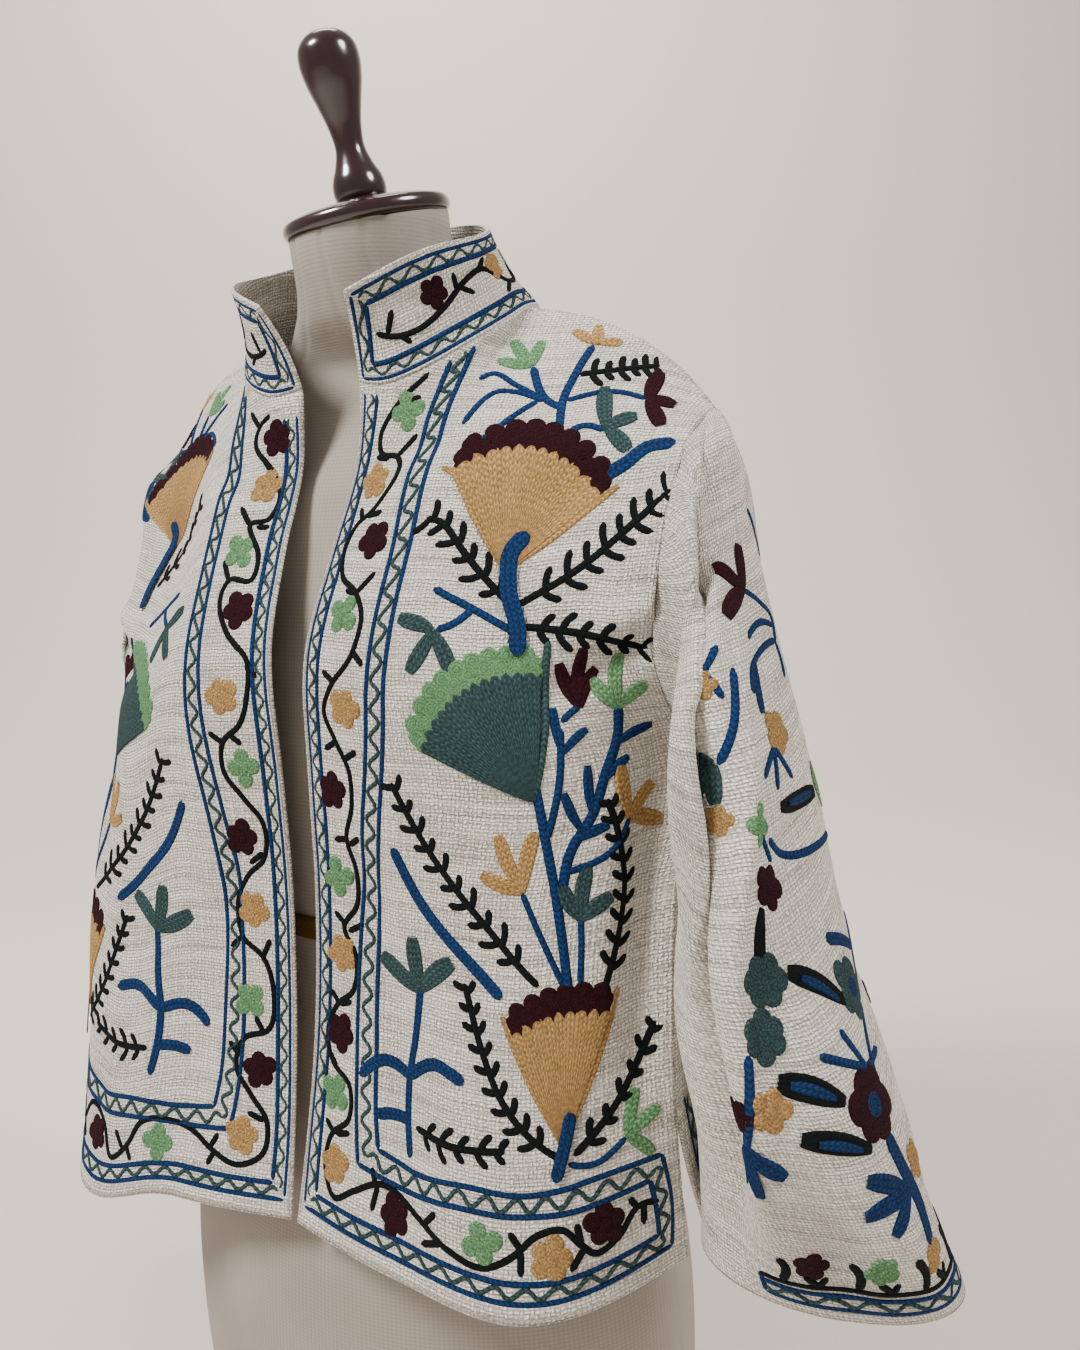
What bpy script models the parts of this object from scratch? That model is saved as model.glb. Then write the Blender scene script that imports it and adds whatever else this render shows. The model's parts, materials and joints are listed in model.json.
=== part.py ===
# Embroidered open-front jacket of cotton cloth, worn by a limbless dress form.
# Units are metres, +Z is up, the wearer faces -Y and the wearer's left is +X.
# The origin is the middle of the form's flat underside.
import math

import bpy
import numpy as np
from mathutils import Euler, Vector

HEM = 0.26            # height of the front hem above the underside of the form
WALL = 0.002          # thickness of the cloth, embroidery and lining together
SEAM = 0.0003         # gap between two pieces where they are sewn

# Grid steps of the pieces
FRONT_STEPS = 15      # front edge to side
FRONT_NECK_STEPS = 6  # of those, the ones along the neckline
BACK_STEPS = 15       # middle of the back to the side
BACK_NECK_STEPS = 6
LOW_STEPS = 9         # hem to underarm
SLIT_STEPS = 3        # of those, the ones beside the open slit
ARM_STEPS = 10        # underarm to shoulder
SLEEVE_STEPS = 15     # armhole to cuff
COLLAR_STEPS = 4      # seam to top edge
FORM_SIDES = 32
UNDERARM = 3          # number of the section at the underarm
FINE_STEPS = 240      # steps of the curves that even() measures
SMOOTH_ANGLE = math.radians(35)

# Sections of the left front, at heights above the hem. Each runs from the
# front edge over a middle and a corner point to the side seam.
# height, edge x, edge y, middle x, middle y, corner x, corner y, side x, side y
FRONT_SECTIONS = [
    (0.000, 0.003, -0.146, 0.090, -0.162, 0.176, -0.163, 0.239, -0.087),
    (0.100, 0.008, -0.122, 0.090, -0.134, 0.182, -0.131, 0.235, -0.088),
    (0.205, 0.010, -0.112, 0.090, -0.121, 0.176, -0.110, 0.229, -0.062),
    (0.270, 0.011, -0.112, 0.090, -0.121, 0.170, -0.099, 0.227, -0.030),
    (0.340, 0.014, -0.110, 0.090, -0.118, 0.164, -0.090, 0.219, -0.062),
    (0.405, 0.020, -0.082, 0.085, -0.094, 0.158, -0.068, 0.223, -0.053),
    (0.455, 0.023, -0.057, 0.080, -0.070, 0.156, -0.048, 0.229, -0.029),
]
HEM_DROP = (0.013, 0.012, 0.010, 0.000)   # how far the hem hangs lower at those four points
# Sections of the left half of the back, from its middle to the armhole.
# height, middle y, quarter x, quarter y, corner x, corner y, flank x, flank y
BACK_SECTIONS = [
    (0.000, 0.150, 0.095, 0.146, 0.188, 0.108, 0.238, 0.020),
    (0.100, 0.139, 0.095, 0.134, 0.182, 0.098, 0.229, 0.015),
    (0.205, 0.120, 0.095, 0.116, 0.172, 0.086, 0.221, 0.018),
    (0.270, 0.116, 0.095, 0.113, 0.168, 0.086, 0.222, 0.020),
    (0.340, 0.116, 0.090, 0.114, 0.150, 0.100, 0.195, 0.074),
    (0.405, 0.111, 0.085, 0.108, 0.145, 0.092, 0.190, 0.068),
    (0.455, 0.100, 0.080, 0.095, 0.140, 0.076, 0.188, 0.056),
]
# Armhole behind the side, from the underarm to the shoulder: x, y
BACK_ARMHOLE = [(0.227, -0.030), (0.224, 0.036), (0.226, 0.044), (0.229, 0.038)]

# Seam lines of the left half at the top, as x, y and height above the hem
NECK_FRONT = [(0.024, -0.051, 0.502), (0.048, -0.054, 0.499), (0.080, -0.044, 0.511),
              (0.102, -0.018, 0.529), (0.107, 0.014, 0.544)]
NECK_BACK = [(0.000, 0.086, 0.562), (0.062, 0.076, 0.559), (0.096, 0.050, 0.552),
             (0.107, 0.014, 0.544)]
SHOULDER = [(0.107, 0.014, 0.544), (0.157, 0.014, 0.531), (0.184, 0.014, 0.517),
            (0.208, 0.014, 0.498), (0.230, 0.012, 0.4725)]
COLLAR_TOP = [(0.034, -0.075, 0.552), (0.074, -0.057, 0.571), (0.089, -0.010, 0.587),
              (0.073, 0.028, 0.600), (0.046, 0.058, 0.612), (0.000, 0.071, 0.618)]

# Rings of the left sleeve. The tilt is that of a line from the inner to the
# outer side of the ring: upright at the armhole, level at the cuff. The turn
# brings its inner side forwards. A power below 1 is fuller than an ellipse.
# length share, middle x, y, height, half long, half deep, tilt, turn, power
SLEEVE_RINGS = [
    (0.06, 0.2380, -0.008, 0.3640, 0.093, 0.056, 88.0, 0.0, 0.86),
    (0.18, 0.2420, -0.009, 0.3280, 0.084, 0.063, 85.0, 0.0, 0.86),
    (0.35, 0.2530, -0.033, 0.2890, 0.062, 0.079, 75.0, -3.0, 0.90),
    (0.50, 0.2660, -0.040, 0.2420, 0.043, 0.084, 57.0, -2.0, 0.95),
    (0.65, 0.2750, -0.056, 0.1870, 0.039, 0.083, 35.0, -3.0, 1.00),
    (0.80, 0.2950, -0.070, 0.1160, 0.050, 0.074, 6.0, 6.0, 1.00),
    (1.00, 0.3150, -0.067, 0.0090, 0.070, 0.045, -9.0, 25.0, 0.95),
]
# The right sleeve hangs further back: by this much, from this share of its length on
RIGHT_SLEEVE_BACK, RIGHT_SLEEVE_FROM = 0.125, 0.35
SLIT_SPREAD = (0.003, 0.024, 0.0)   # from the front to the back corner of the slit
SLIT_BEND = 1.3             # how fast the slit opens towards the hem
SIDE_PULL = 4               # how close to the side seam the back follows it
COLLAR_HOLLOW = 0.004       # how far the collar curves in between seam and top
COLLAR_MIDDLE = 0.010       # y of the middle of the neck opening
MIRROR = np.array([-1.0, 1.0, 1.0])
# The wearer's right shoulder is drawn back and in, and the hem drops on that side
PULL_BACK, PULL_IN = 0.026, 0.06      # in metres, and as a share of x
PULL_REACH = 0.20                     # x where the pull is full
PULL_FROM, PULL_FULL = 0.28, 0.41     # heights where it starts and is full
PULL_FADE_FROM, PULL_FADE_FULL, PULL_LEFT = 0.45, 0.53, 0.45   # it fades to a share above
RIGHT_HEM_DROP, RIGHT_HEM_REACH, RIGHT_HEM_LOWEST = 0.018, 0.13, 1.1
RIGHT_HEM_FROM, RIGHT_HEM_OVER = 0.09, 0.08   # x where the drop starts, and its run
SLEEVE_FROM, SLEEVE_OVER = 0.242, 0.004       # x beyond which only sleeve is found below

SPLIT_ORDER = np.array([0.3, 0.5, 1.0])   # rims are split at the corner furthest this way

CLOTH_COLOR = (0.76, 0.71, 0.62)
FORM_COLOR = (0.48, 0.44, 0.38)
BAND_COLOR = (0.10, 0.05, 0.01)
WOOD_COLOR = (0.022, 0.005, 0.006)

# Largest folds of the sleeve: share round the ring from the underarm over the
# front, its width, depth, and the shares of the length where it starts and ends
SLEEVE_FOLDS = [
    (0.14, 0.045, 0.012, 0.10, 0.72),
    (0.62, 0.050, 0.008, 0.08, 0.60),
    (0.84, 0.060, 0.010, 0.30, 0.95),
]

# Sections of the form: height, middle y, half width, half depth
FORM_SECTIONS = [
    (0.000, 0.000, 0.192, 0.136),
    (0.100, 0.000, 0.200, 0.140),
    (0.200, 0.000, 0.194, 0.134),
    (0.290, 0.000, 0.170, 0.118),
    (0.390, 0.000, 0.142, 0.098),
    (0.470, 0.000, 0.143, 0.095),
    (0.540, 0.000, 0.156, 0.094),
    (0.600, 0.002, 0.168, 0.088),
    (0.660, 0.009, 0.179, 0.076),
    (0.705, 0.013, 0.183, 0.063),
    (0.731, 0.016, 0.177, 0.050),
    (0.751, 0.017, 0.161, 0.042),
    (0.768, 0.0210, 0.142, 0.038),
    (0.779, 0.0210, 0.117, 0.038),
    (0.790, 0.0190, 0.091, 0.043),
    (0.805, 0.0155, 0.071, 0.051),
    (0.825, 0.007, 0.056, 0.051),
    (0.845, 0.003, 0.053, 0.053),
    (0.866, 0.000, 0.053, 0.053),
]
BAND_LOW, BAND_HIGH = 0.412, 0.427   # tape round the waist of the form
BAND_WALL = 0.0012
BAND_CLEAR = 0.0004                  # clear of the flat facets of the form

# Turned wood on the neck: radius and height
CAP_PROFILE = [(0.0, 0.0), (0.0520, 0.0), (0.0552, 0.003), (0.0552, 0.007), (0.0520, 0.011),
               (0.0400, 0.014), (0.0200, 0.017), (0.0, 0.017)]
FINIAL_PROFILE = [(0.0, 0.0), (0.0160, 0.0), (0.0172, 0.004), (0.0165, 0.012), (0.0125, 0.021),
                  (0.0097, 0.030), (0.0105, 0.042), (0.0140, 0.056), (0.0180, 0.070),
                  (0.0195, 0.081), (0.0180, 0.090), (0.0120, 0.0965), (0.0, 0.0985)]
TURNED_SIDES = 32
NECK_TURN = (math.radians(12.0), math.radians(-4.0), 0.0)   # the neck's top leans forwards


def spline(knots, points, at):
    """Smooth curve through the points, read where its knots have the values in at."""
    knots, points = np.asarray(knots, float), np.asarray(points, float)
    at = np.atleast_1d(at)
    step = np.diff(knots)[:, None]
    slope = np.diff(points, axis=0) / step
    tangent = np.empty_like(points)
    tangent[1:-1] = (slope[1:] * step[:-1] + slope[:-1] * step[1:]) / (step[1:] + step[:-1])
    tangent[0] = 1.5 * slope[0] - 0.5 * tangent[1]
    tangent[-1] = 1.5 * slope[-1] - 0.5 * tangent[-2]
    i = np.clip(np.searchsorted(knots, at, side="right") - 1, 0, len(knots) - 2)
    s = ((at - knots[i])[:, None]) / step[i]
    start = (2 * s**3 - 3 * s**2 + 1) * points[i] + (s**3 - 2 * s**2 + s) * step[i] * tangent[i]
    end = (3 * s**2 - 2 * s**3) * points[i + 1] + (s**3 - s**2) * step[i] * tangent[i + 1]
    return start + end


def lengths(points):
    """Distance of each point from the first one, along the points."""
    return np.concatenate([[0.0], np.cumsum(np.linalg.norm(np.diff(points, axis=0), axis=1))])


def even(points, count):
    """count + 1 points at equal distances along the smooth curve through the points."""
    points = np.asarray(points, float)
    fine = spline(lengths(points), points, np.linspace(0, lengths(points)[-1], FINE_STEPS))
    along = lengths(fine)
    at = np.linspace(0, along[-1], count + 1)
    return np.stack([np.interp(at, along, fine[:, k]) for k in range(3)], axis=1)


def columns(sections):
    """Rows of a panel through its sections, from the hem over the underarm to the top."""
    sections = np.asarray(sections)
    grid = np.empty((LOW_STEPS + ARM_STEPS + 1, sections.shape[1], 3))
    for j in range(sections.shape[1]):
        knots = lengths(sections[:, j])
        at = np.concatenate([np.linspace(0, knots[UNDERARM], LOW_STEPS + 1),
                             np.linspace(knots[UNDERARM], knots[-1], ARM_STEPS + 1)[1:]])
        grid[:, j] = spline(knots, sections[:, j], at)
    return grid


def front_grid():
    sections = []
    for z, edge_x, edge_y, mid_x, mid_y, corner_x, corner_y, side_x, side_y in FRONT_SECTIONS:
        line = np.array([(edge_x, edge_y, z), (mid_x, mid_y, z),
                         (corner_x, corner_y, z), (side_x, side_y, z)])
        if not sections:
            line[:, 2] -= HEM_DROP
        sections.append(even(line, FRONT_STEPS))
    neck = even(NECK_FRONT, FRONT_NECK_STEPS)
    shoulder = even(SHOULDER, FRONT_STEPS - FRONT_NECK_STEPS)
    sections.append(np.vstack([neck, shoulder[1:]]))
    return columns(sections)


def back_grid(front):
    """Left half of the back, from its middle to the side seam that it shares with the front."""
    sections = []
    for k, section in enumerate(BACK_SECTIONS):
        z, mid_y, quarter_x, quarter_y, corner_x, corner_y, flank_x, flank_y = section
        side_x, side_y = FRONT_SECTIONS[k][7:9] if k < UNDERARM else BACK_ARMHOLE[k - UNDERARM]
        line = [(0, mid_y, z), (quarter_x, quarter_y, z), (corner_x, corner_y, z),
                (flank_x, flank_y, z), (side_x, side_y, z)]
        sections.append(even(line, BACK_STEPS))
    neck = even(NECK_BACK, BACK_NECK_STEPS)
    shoulder = even(SHOULDER, BACK_STEPS - BACK_NECK_STEPS)
    sections.append(np.vstack([neck, shoulder[1:]]))
    grid = columns(sections)
    seam = grid[:, -1].copy()
    seam[:LOW_STEPS + 1] = front[:LOW_STEPS + 1, -1]
    for i in range(SLIT_STEPS):
        seam[i] += np.array(SLIT_SPREAD) * (1 - i / SLIT_STEPS) ** SLIT_BEND
    pull = (np.arange(BACK_STEPS + 1) / BACK_STEPS) ** SIDE_PULL
    return grid + pull[None, :, None] * (seam - grid[:, -1])[:, None, :]


def sleeve_ring(middle_x, middle_y, z, half_long, half_deep, tilt, turned, power):
    """Points round a ring, from the underarm over the front and the outer side."""
    turn = 2 * math.pi * np.arange(2 * ARM_STEPS) / (2 * ARM_STEPS)
    out = -np.sign(np.cos(turn)) * np.abs(np.cos(turn)) ** power
    back = -np.sign(np.sin(turn)) * np.abs(np.sin(turn)) ** power
    lean, yaw = math.radians(tilt), math.radians(turned)
    flat = half_long * math.cos(lean) * out
    x = middle_x + flat * math.cos(yaw) - half_deep * back * math.sin(yaw)
    y = middle_y + flat * math.sin(yaw) + half_deep * back * math.cos(yaw)
    return np.stack([x, y, z + half_long * math.sin(lean) * out], axis=1)


def sleeve_grid(front, back, pushed_back):
    """Rings of the left sleeve, from the armhole to the cuff."""
    armhole = np.vstack([front[LOW_STEPS:, -1], back[LOW_STEPS + 1:-1, -1][::-1]])
    rings = [armhole] + [sleeve_ring(*row[1:]) for row in SLEEVE_RINGS]
    knots = [0.0] + [row[0] for row in SLEEVE_RINGS]
    at = np.linspace(0, 1, SLEEVE_STEPS + 1)
    grid = np.empty((SLEEVE_STEPS + 1, 2 * ARM_STEPS, 3))
    for j in range(2 * ARM_STEPS):
        grid[:, j] = spline(knots, [ring[j] for ring in rings], at)
    share = np.sin(math.pi / 2 * np.clip(at / RIGHT_SLEEVE_FROM, 0, 1))
    grid[:, :, 1] += pushed_back * share[:, None]
    middle = grid.mean(axis=1, keepdims=True)
    turn = np.arange(2 * ARM_STEPS) / (2 * ARM_STEPS)
    for place, width, depth, start, end in SLEEVE_FOLDS:
        away = (turn - place + 0.5) % 1.0 - 0.5
        along = np.clip((at - start) / (end - start), 0, 1)
        dent = depth * np.outer(np.sin(math.pi * along), np.exp(-(away / width) ** 2))
        inward = middle - grid
        grid += inward / np.linalg.norm(inward, axis=2, keepdims=True) * dent[:, :, None]
    return grid[:, ::-1]


def collar_grid(front, back):
    """The collar, round the neck from the wearer's left to the right."""
    base = np.vstack([front[-1, :FRONT_NECK_STEPS], back[-1, :BACK_NECK_STEPS + 1][::-1]])
    half = even(COLLAR_TOP, len(base) - 1)
    base = np.vstack([base, base[-2::-1] * MIRROR])
    top = np.vstack([half, half[-2::-1] * MIRROR])
    share = (np.arange(COLLAR_STEPS + 1) / COLLAR_STEPS)[:, None, None]
    grid = base + (top - base) * share
    outward = np.stack([base[:, 0], base[:, 1] - COLLAR_MIDDLE, np.zeros(len(base))], axis=1)
    outward /= np.linalg.norm(outward, axis=1, keepdims=True)
    return grid - COLLAR_HOLLOW * np.sin(math.pi * share) * outward


def normals(grid, closed):
    """Unit normals of a grid of points, on the side that the wearer doesn't touch."""
    if closed:
        across = np.roll(grid, -1, axis=1) - np.roll(grid, 1, axis=1)
    else:
        across = np.gradient(grid, axis=1)
    up = np.gradient(grid, axis=0)
    normal = np.cross(across, up)
    return normal / np.linalg.norm(normal, axis=2, keepdims=True)


def drawn_back(grid, i, j, normal, closed):
    """Half a seam gap from an edge point towards the inside of its piece."""
    rows, cols = grid.shape[:2]
    inner_i = min(max(i, 1), rows - 2)
    inner_j = j if closed else min(max(j, 1), cols - 2)
    way = grid[inner_i, inner_j] - grid[i, j]
    way = way - normal * np.dot(way, normal)
    if inner_i == i:
        along = grid[min(i + 1, rows - 1), j] - grid[max(i - 1, 0), j]
    elif inner_j == j:
        along = grid[i, (j + 1) % cols] - grid[i, j - 1]
    else:
        along = np.zeros(3)
    if along.any():
        along = along / np.linalg.norm(along)
        way = way - along * np.dot(way, along)
    return way / np.linalg.norm(way) * SEAM / 2


def place_key(point):
    return tuple(round(float(value) * 1e5) for value in point)


def sew(pieces):
    """Gives the pieces one normal where they meet, and draws each back by half a seam gap."""
    meeting = {}
    for grid, normal, _ in pieces:
        for point, direction in zip(grid.reshape(-1, 3), normal.reshape(-1, 3)):
            meeting.setdefault(place_key(point), []).append(direction.copy())
    for grid, normal, closed in pieces:
        shift = np.zeros_like(grid)
        for i, j in np.ndindex(grid.shape[:2]):
            shared = meeting[place_key(grid[i, j])]
            if len(shared) > 1:
                mean = np.sum(shared, axis=0)
                normal[i, j] = mean / np.linalg.norm(mean)
                shift[i, j] = drawn_back(grid, i, j, normal[i, j], closed)
        grid += shift


def new_object(name, points, faces, material, smooth=True):
    mesh = bpy.data.meshes.new(name)
    mesh.from_pydata([tuple(point) for point in points], [], faces)
    mesh.materials.append(material)
    if smooth:
        mesh.shade_smooth()
        mesh.set_sharp_from_angle(angle=SMOOTH_ANGLE)
    made = bpy.data.objects.new(name, mesh)
    bpy.context.collection.objects.link(made)
    return made


def wall_solid(name, grid, normal, wall, closed, material):
    """A wall of even thickness with its middle on the grid."""
    rows, cols = grid.shape[:2]
    count = rows * cols
    outer = grid + normal * wall / 2
    inner = grid - normal * wall / 2
    points = np.concatenate([outer.reshape(-1, 3), inner.reshape(-1, 3)])
    faces = []

    def rim(a, b):
        """End face between two outer points, split the same way on both sides of a seam."""
        if np.dot(points[a], SPLIT_ORDER) < np.dot(points[b], SPLIT_ORDER):
            faces.extend([(a, count + a, count + b), (a, count + b, b)])
        else:
            faces.extend([(a, count + a, b), (count + a, count + b, b)])

    for i in range(rows - 1):
        for j in range(cols if closed else cols - 1):
            k = (j + 1) % cols
            a, b, c, d = i * cols + j, i * cols + k, (i + 1) * cols + k, (i + 1) * cols + j
            faces.extend([(a, b, c), (a, c, d)])
            faces.extend([(count + a, count + c, count + b), (count + a, count + d, count + c)])
    for j in range(cols if closed else cols - 1):
        k = (j + 1) % cols
        rim(j, k)
        rim((rows - 1) * cols + k, (rows - 1) * cols + j)
    if not closed:
        for i in range(rows - 1):
            rim((i + 1) * cols, i * cols)
            rim(i * cols + cols - 1, (i + 1) * cols + cols - 1)
    return new_object(name, points, faces, material)


def lofted_solid(name, rings, material):
    """A solid through closed rings of points, with flat ends."""
    cols = len(rings[0])
    points = np.concatenate(rings)
    faces = [tuple(range(cols))[::-1], tuple(range((len(rings) - 1) * cols, len(rings) * cols))]
    for i in range(len(rings) - 1):
        for j in range(cols):
            k = (j + 1) % cols
            a, b, c, d = i * cols + j, i * cols + k, (i + 1) * cols + k, (i + 1) * cols + j
            faces.extend([(a, b, c), (a, c, d)])
    return new_object(name, points, faces, material)


def turned_solid(name, profile, material):
    """A turned piece. Its profile starts and ends on the axis."""
    turn = 2 * math.pi * np.arange(TURNED_SIDES) / TURNED_SIDES
    round_points = np.stack([np.cos(turn), np.sin(turn)], axis=1)
    points = [(0.0, 0.0, profile[0][1])]
    for radius, z in profile[1:-1]:
        points.extend((radius * x, radius * y, z) for x, y in round_points)
    points.append((0.0, 0.0, profile[-1][1]))
    last = len(points) - 1
    faces = []
    for j in range(TURNED_SIDES):
        k = (j + 1) % TURNED_SIDES
        faces.append((0, 1 + k, 1 + j))
        faces.append((last, last - TURNED_SIDES + j, last - TURNED_SIDES + k))
        for i in range(len(profile) - 3):
            low, high = 1 + i * TURNED_SIDES, 1 + (i + 1) * TURNED_SIDES
            faces.append((low + j, low + k, high + k, high + j))
    return new_object(name, points, faces, material)


def form_ring(middle_y, half_width, half_depth, z):
    turn = 2 * math.pi * np.arange(FORM_SIDES) / FORM_SIDES
    return np.stack([half_width * np.cos(turn), middle_y + half_depth * np.sin(turn),
                     np.full(FORM_SIDES, z)], axis=1)


def form_rings():
    """Rings of the form, the last one tilted as the neck's top is."""
    table = np.array(FORM_SECTIONS)
    between = (table[1:, 0] + table[:-1, 0]) / 2
    heights = np.sort(np.concatenate([table[:, 0], between, [BAND_LOW, BAND_HIGH]]))
    rings = [form_ring(*row[1:], row[0]) for row in spline(table[:, 0], table, heights)]
    top = rings[-1] - np.array([0, 0, FORM_SECTIONS[-1][0]])
    tilt = np.array(Euler(NECK_TURN).to_matrix())
    rings[-1] = top @ tilt.T + np.array([0, 0, FORM_SECTIONS[-1][0]])
    return rings


def band_solid(material):
    """The tape round the waist of the form, a seam gap outside its surface."""
    table = np.array(FORM_SECTIONS)
    grid, normal = [], []
    for z in (BAND_LOW, BAND_HIGH):
        _, middle_y, half_width, half_depth = spline(table[:, 0], table, z)[0]
        clear = BAND_CLEAR + BAND_WALL / 2
        ring = form_ring(middle_y, half_width + clear, half_depth + clear, z)
        out = ring - np.array([0, middle_y, z])
        out[:, 0] /= (half_width + clear) ** 2
        out[:, 1] /= (half_depth + clear) ** 2
        grid.append(ring)
        normal.append(out / np.linalg.norm(out, axis=1, keepdims=True))
    return wall_solid("form_waist_band", np.array(grid), np.array(normal), BAND_WALL, True, material)


def principled(name, color, roughness, coat=0.0):
    material = bpy.data.materials.new(name)
    material.use_nodes = True
    shader = material.node_tree.nodes["Principled BSDF"]
    shader.inputs["Base Color"].default_value = (*color, 1.0)
    shader.inputs["Roughness"].default_value = roughness
    shader.inputs["Metallic"].default_value = 0.0
    shader.inputs["Coat Weight"].default_value = coat
    material.diffuse_color = (*color, 1.0)
    return material


def smooth_step(value):
    value = np.clip(value, 0, 1)
    return value * value * (3 - 2 * value)


def settled(grid):
    """The grid with the wearer's right side as it hangs."""
    right = -grid[:, :, 0]
    height = grid[:, :, 2]
    pull = smooth_step(right / PULL_REACH) * smooth_step((height - PULL_FROM) / (PULL_FULL - PULL_FROM))
    fade = smooth_step((height - PULL_FADE_FROM) / (PULL_FADE_FULL - PULL_FADE_FROM))
    pull *= 1 - (1 - PULL_LEFT) * fade
    low = np.clip(1 - height / RIGHT_HEM_REACH, 0, RIGHT_HEM_LOWEST)
    drop = low * smooth_step((right - RIGHT_HEM_FROM) / RIGHT_HEM_OVER)
    on_sleeve = smooth_step((right - SLEEVE_FROM) / SLEEVE_OVER)
    moved = grid.copy()
    moved[:, :, 0] *= 1 - PULL_IN * pull
    moved[:, :, 1] += PULL_BACK * pull
    moved[:, :, 2] -= RIGHT_HEM_DROP * drop * (1 - on_sleeve)
    return moved


def cloth_grids():
    """Middle surfaces of the pieces of cloth, as name: (grid, is a closed tube)."""
    lift = np.array([0, 0, HEM])
    front = front_grid()
    back = back_grid(front)
    grids = {
        "front_left": (front, False),
        "front_right": ((front * MIRROR)[:, ::-1], False),
        "back": (np.concatenate([back[:, ::-1], (back * MIRROR)[:, 1:]], axis=1), False),
        "sleeve_left": (sleeve_grid(front, back, 0.0), True),
        "sleeve_right": ((sleeve_grid(front, back, RIGHT_SLEEVE_BACK) * MIRROR)[:, ::-1], True),
        "collar": (collar_grid(front, back), False),
    }
    return {name: (settled(grid) + lift, closed) for name, (grid, closed) in grids.items()}


def build():
    for old in list(bpy.data.objects):
        bpy.data.objects.remove(old, do_unlink=True)
    grids = cloth_grids()
    pieces = {name: (grid, normals(grid, closed), closed) for name, (grid, closed) in grids.items()}
    sew(list(pieces.values()))
    for name, (grid, normal, closed) in pieces.items():
        cloth = principled("cloth_" + name, CLOTH_COLOR, 0.9)
        wall_solid(name, grid, normal, WALL, closed, cloth)
    lofted_solid("form_torso", form_rings(), principled("form_fabric", FORM_COLOR, 0.85))
    band_solid(principled("waist_tape", BAND_COLOR, 0.5))
    neck_top = Vector((0, 0, FORM_SECTIONS[-1][0]))
    up = Euler(NECK_TURN).to_matrix() @ Vector((0, 0, 1))
    cap = turned_solid("form_neck_cap", CAP_PROFILE, principled("cap_wood", WOOD_COLOR, 0.2, 0.6))
    finial = turned_solid("form_finial", FINIAL_PROFILE, principled("finial_wood", WOOD_COLOR, 0.2, 0.6))
    for piece, height in ((cap, SEAM), (finial, CAP_PROFILE[-1][1] + 2 * SEAM)):
        piece.location = neck_top + up * height
        piece.rotation_euler = NECK_TURN


build()
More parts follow.
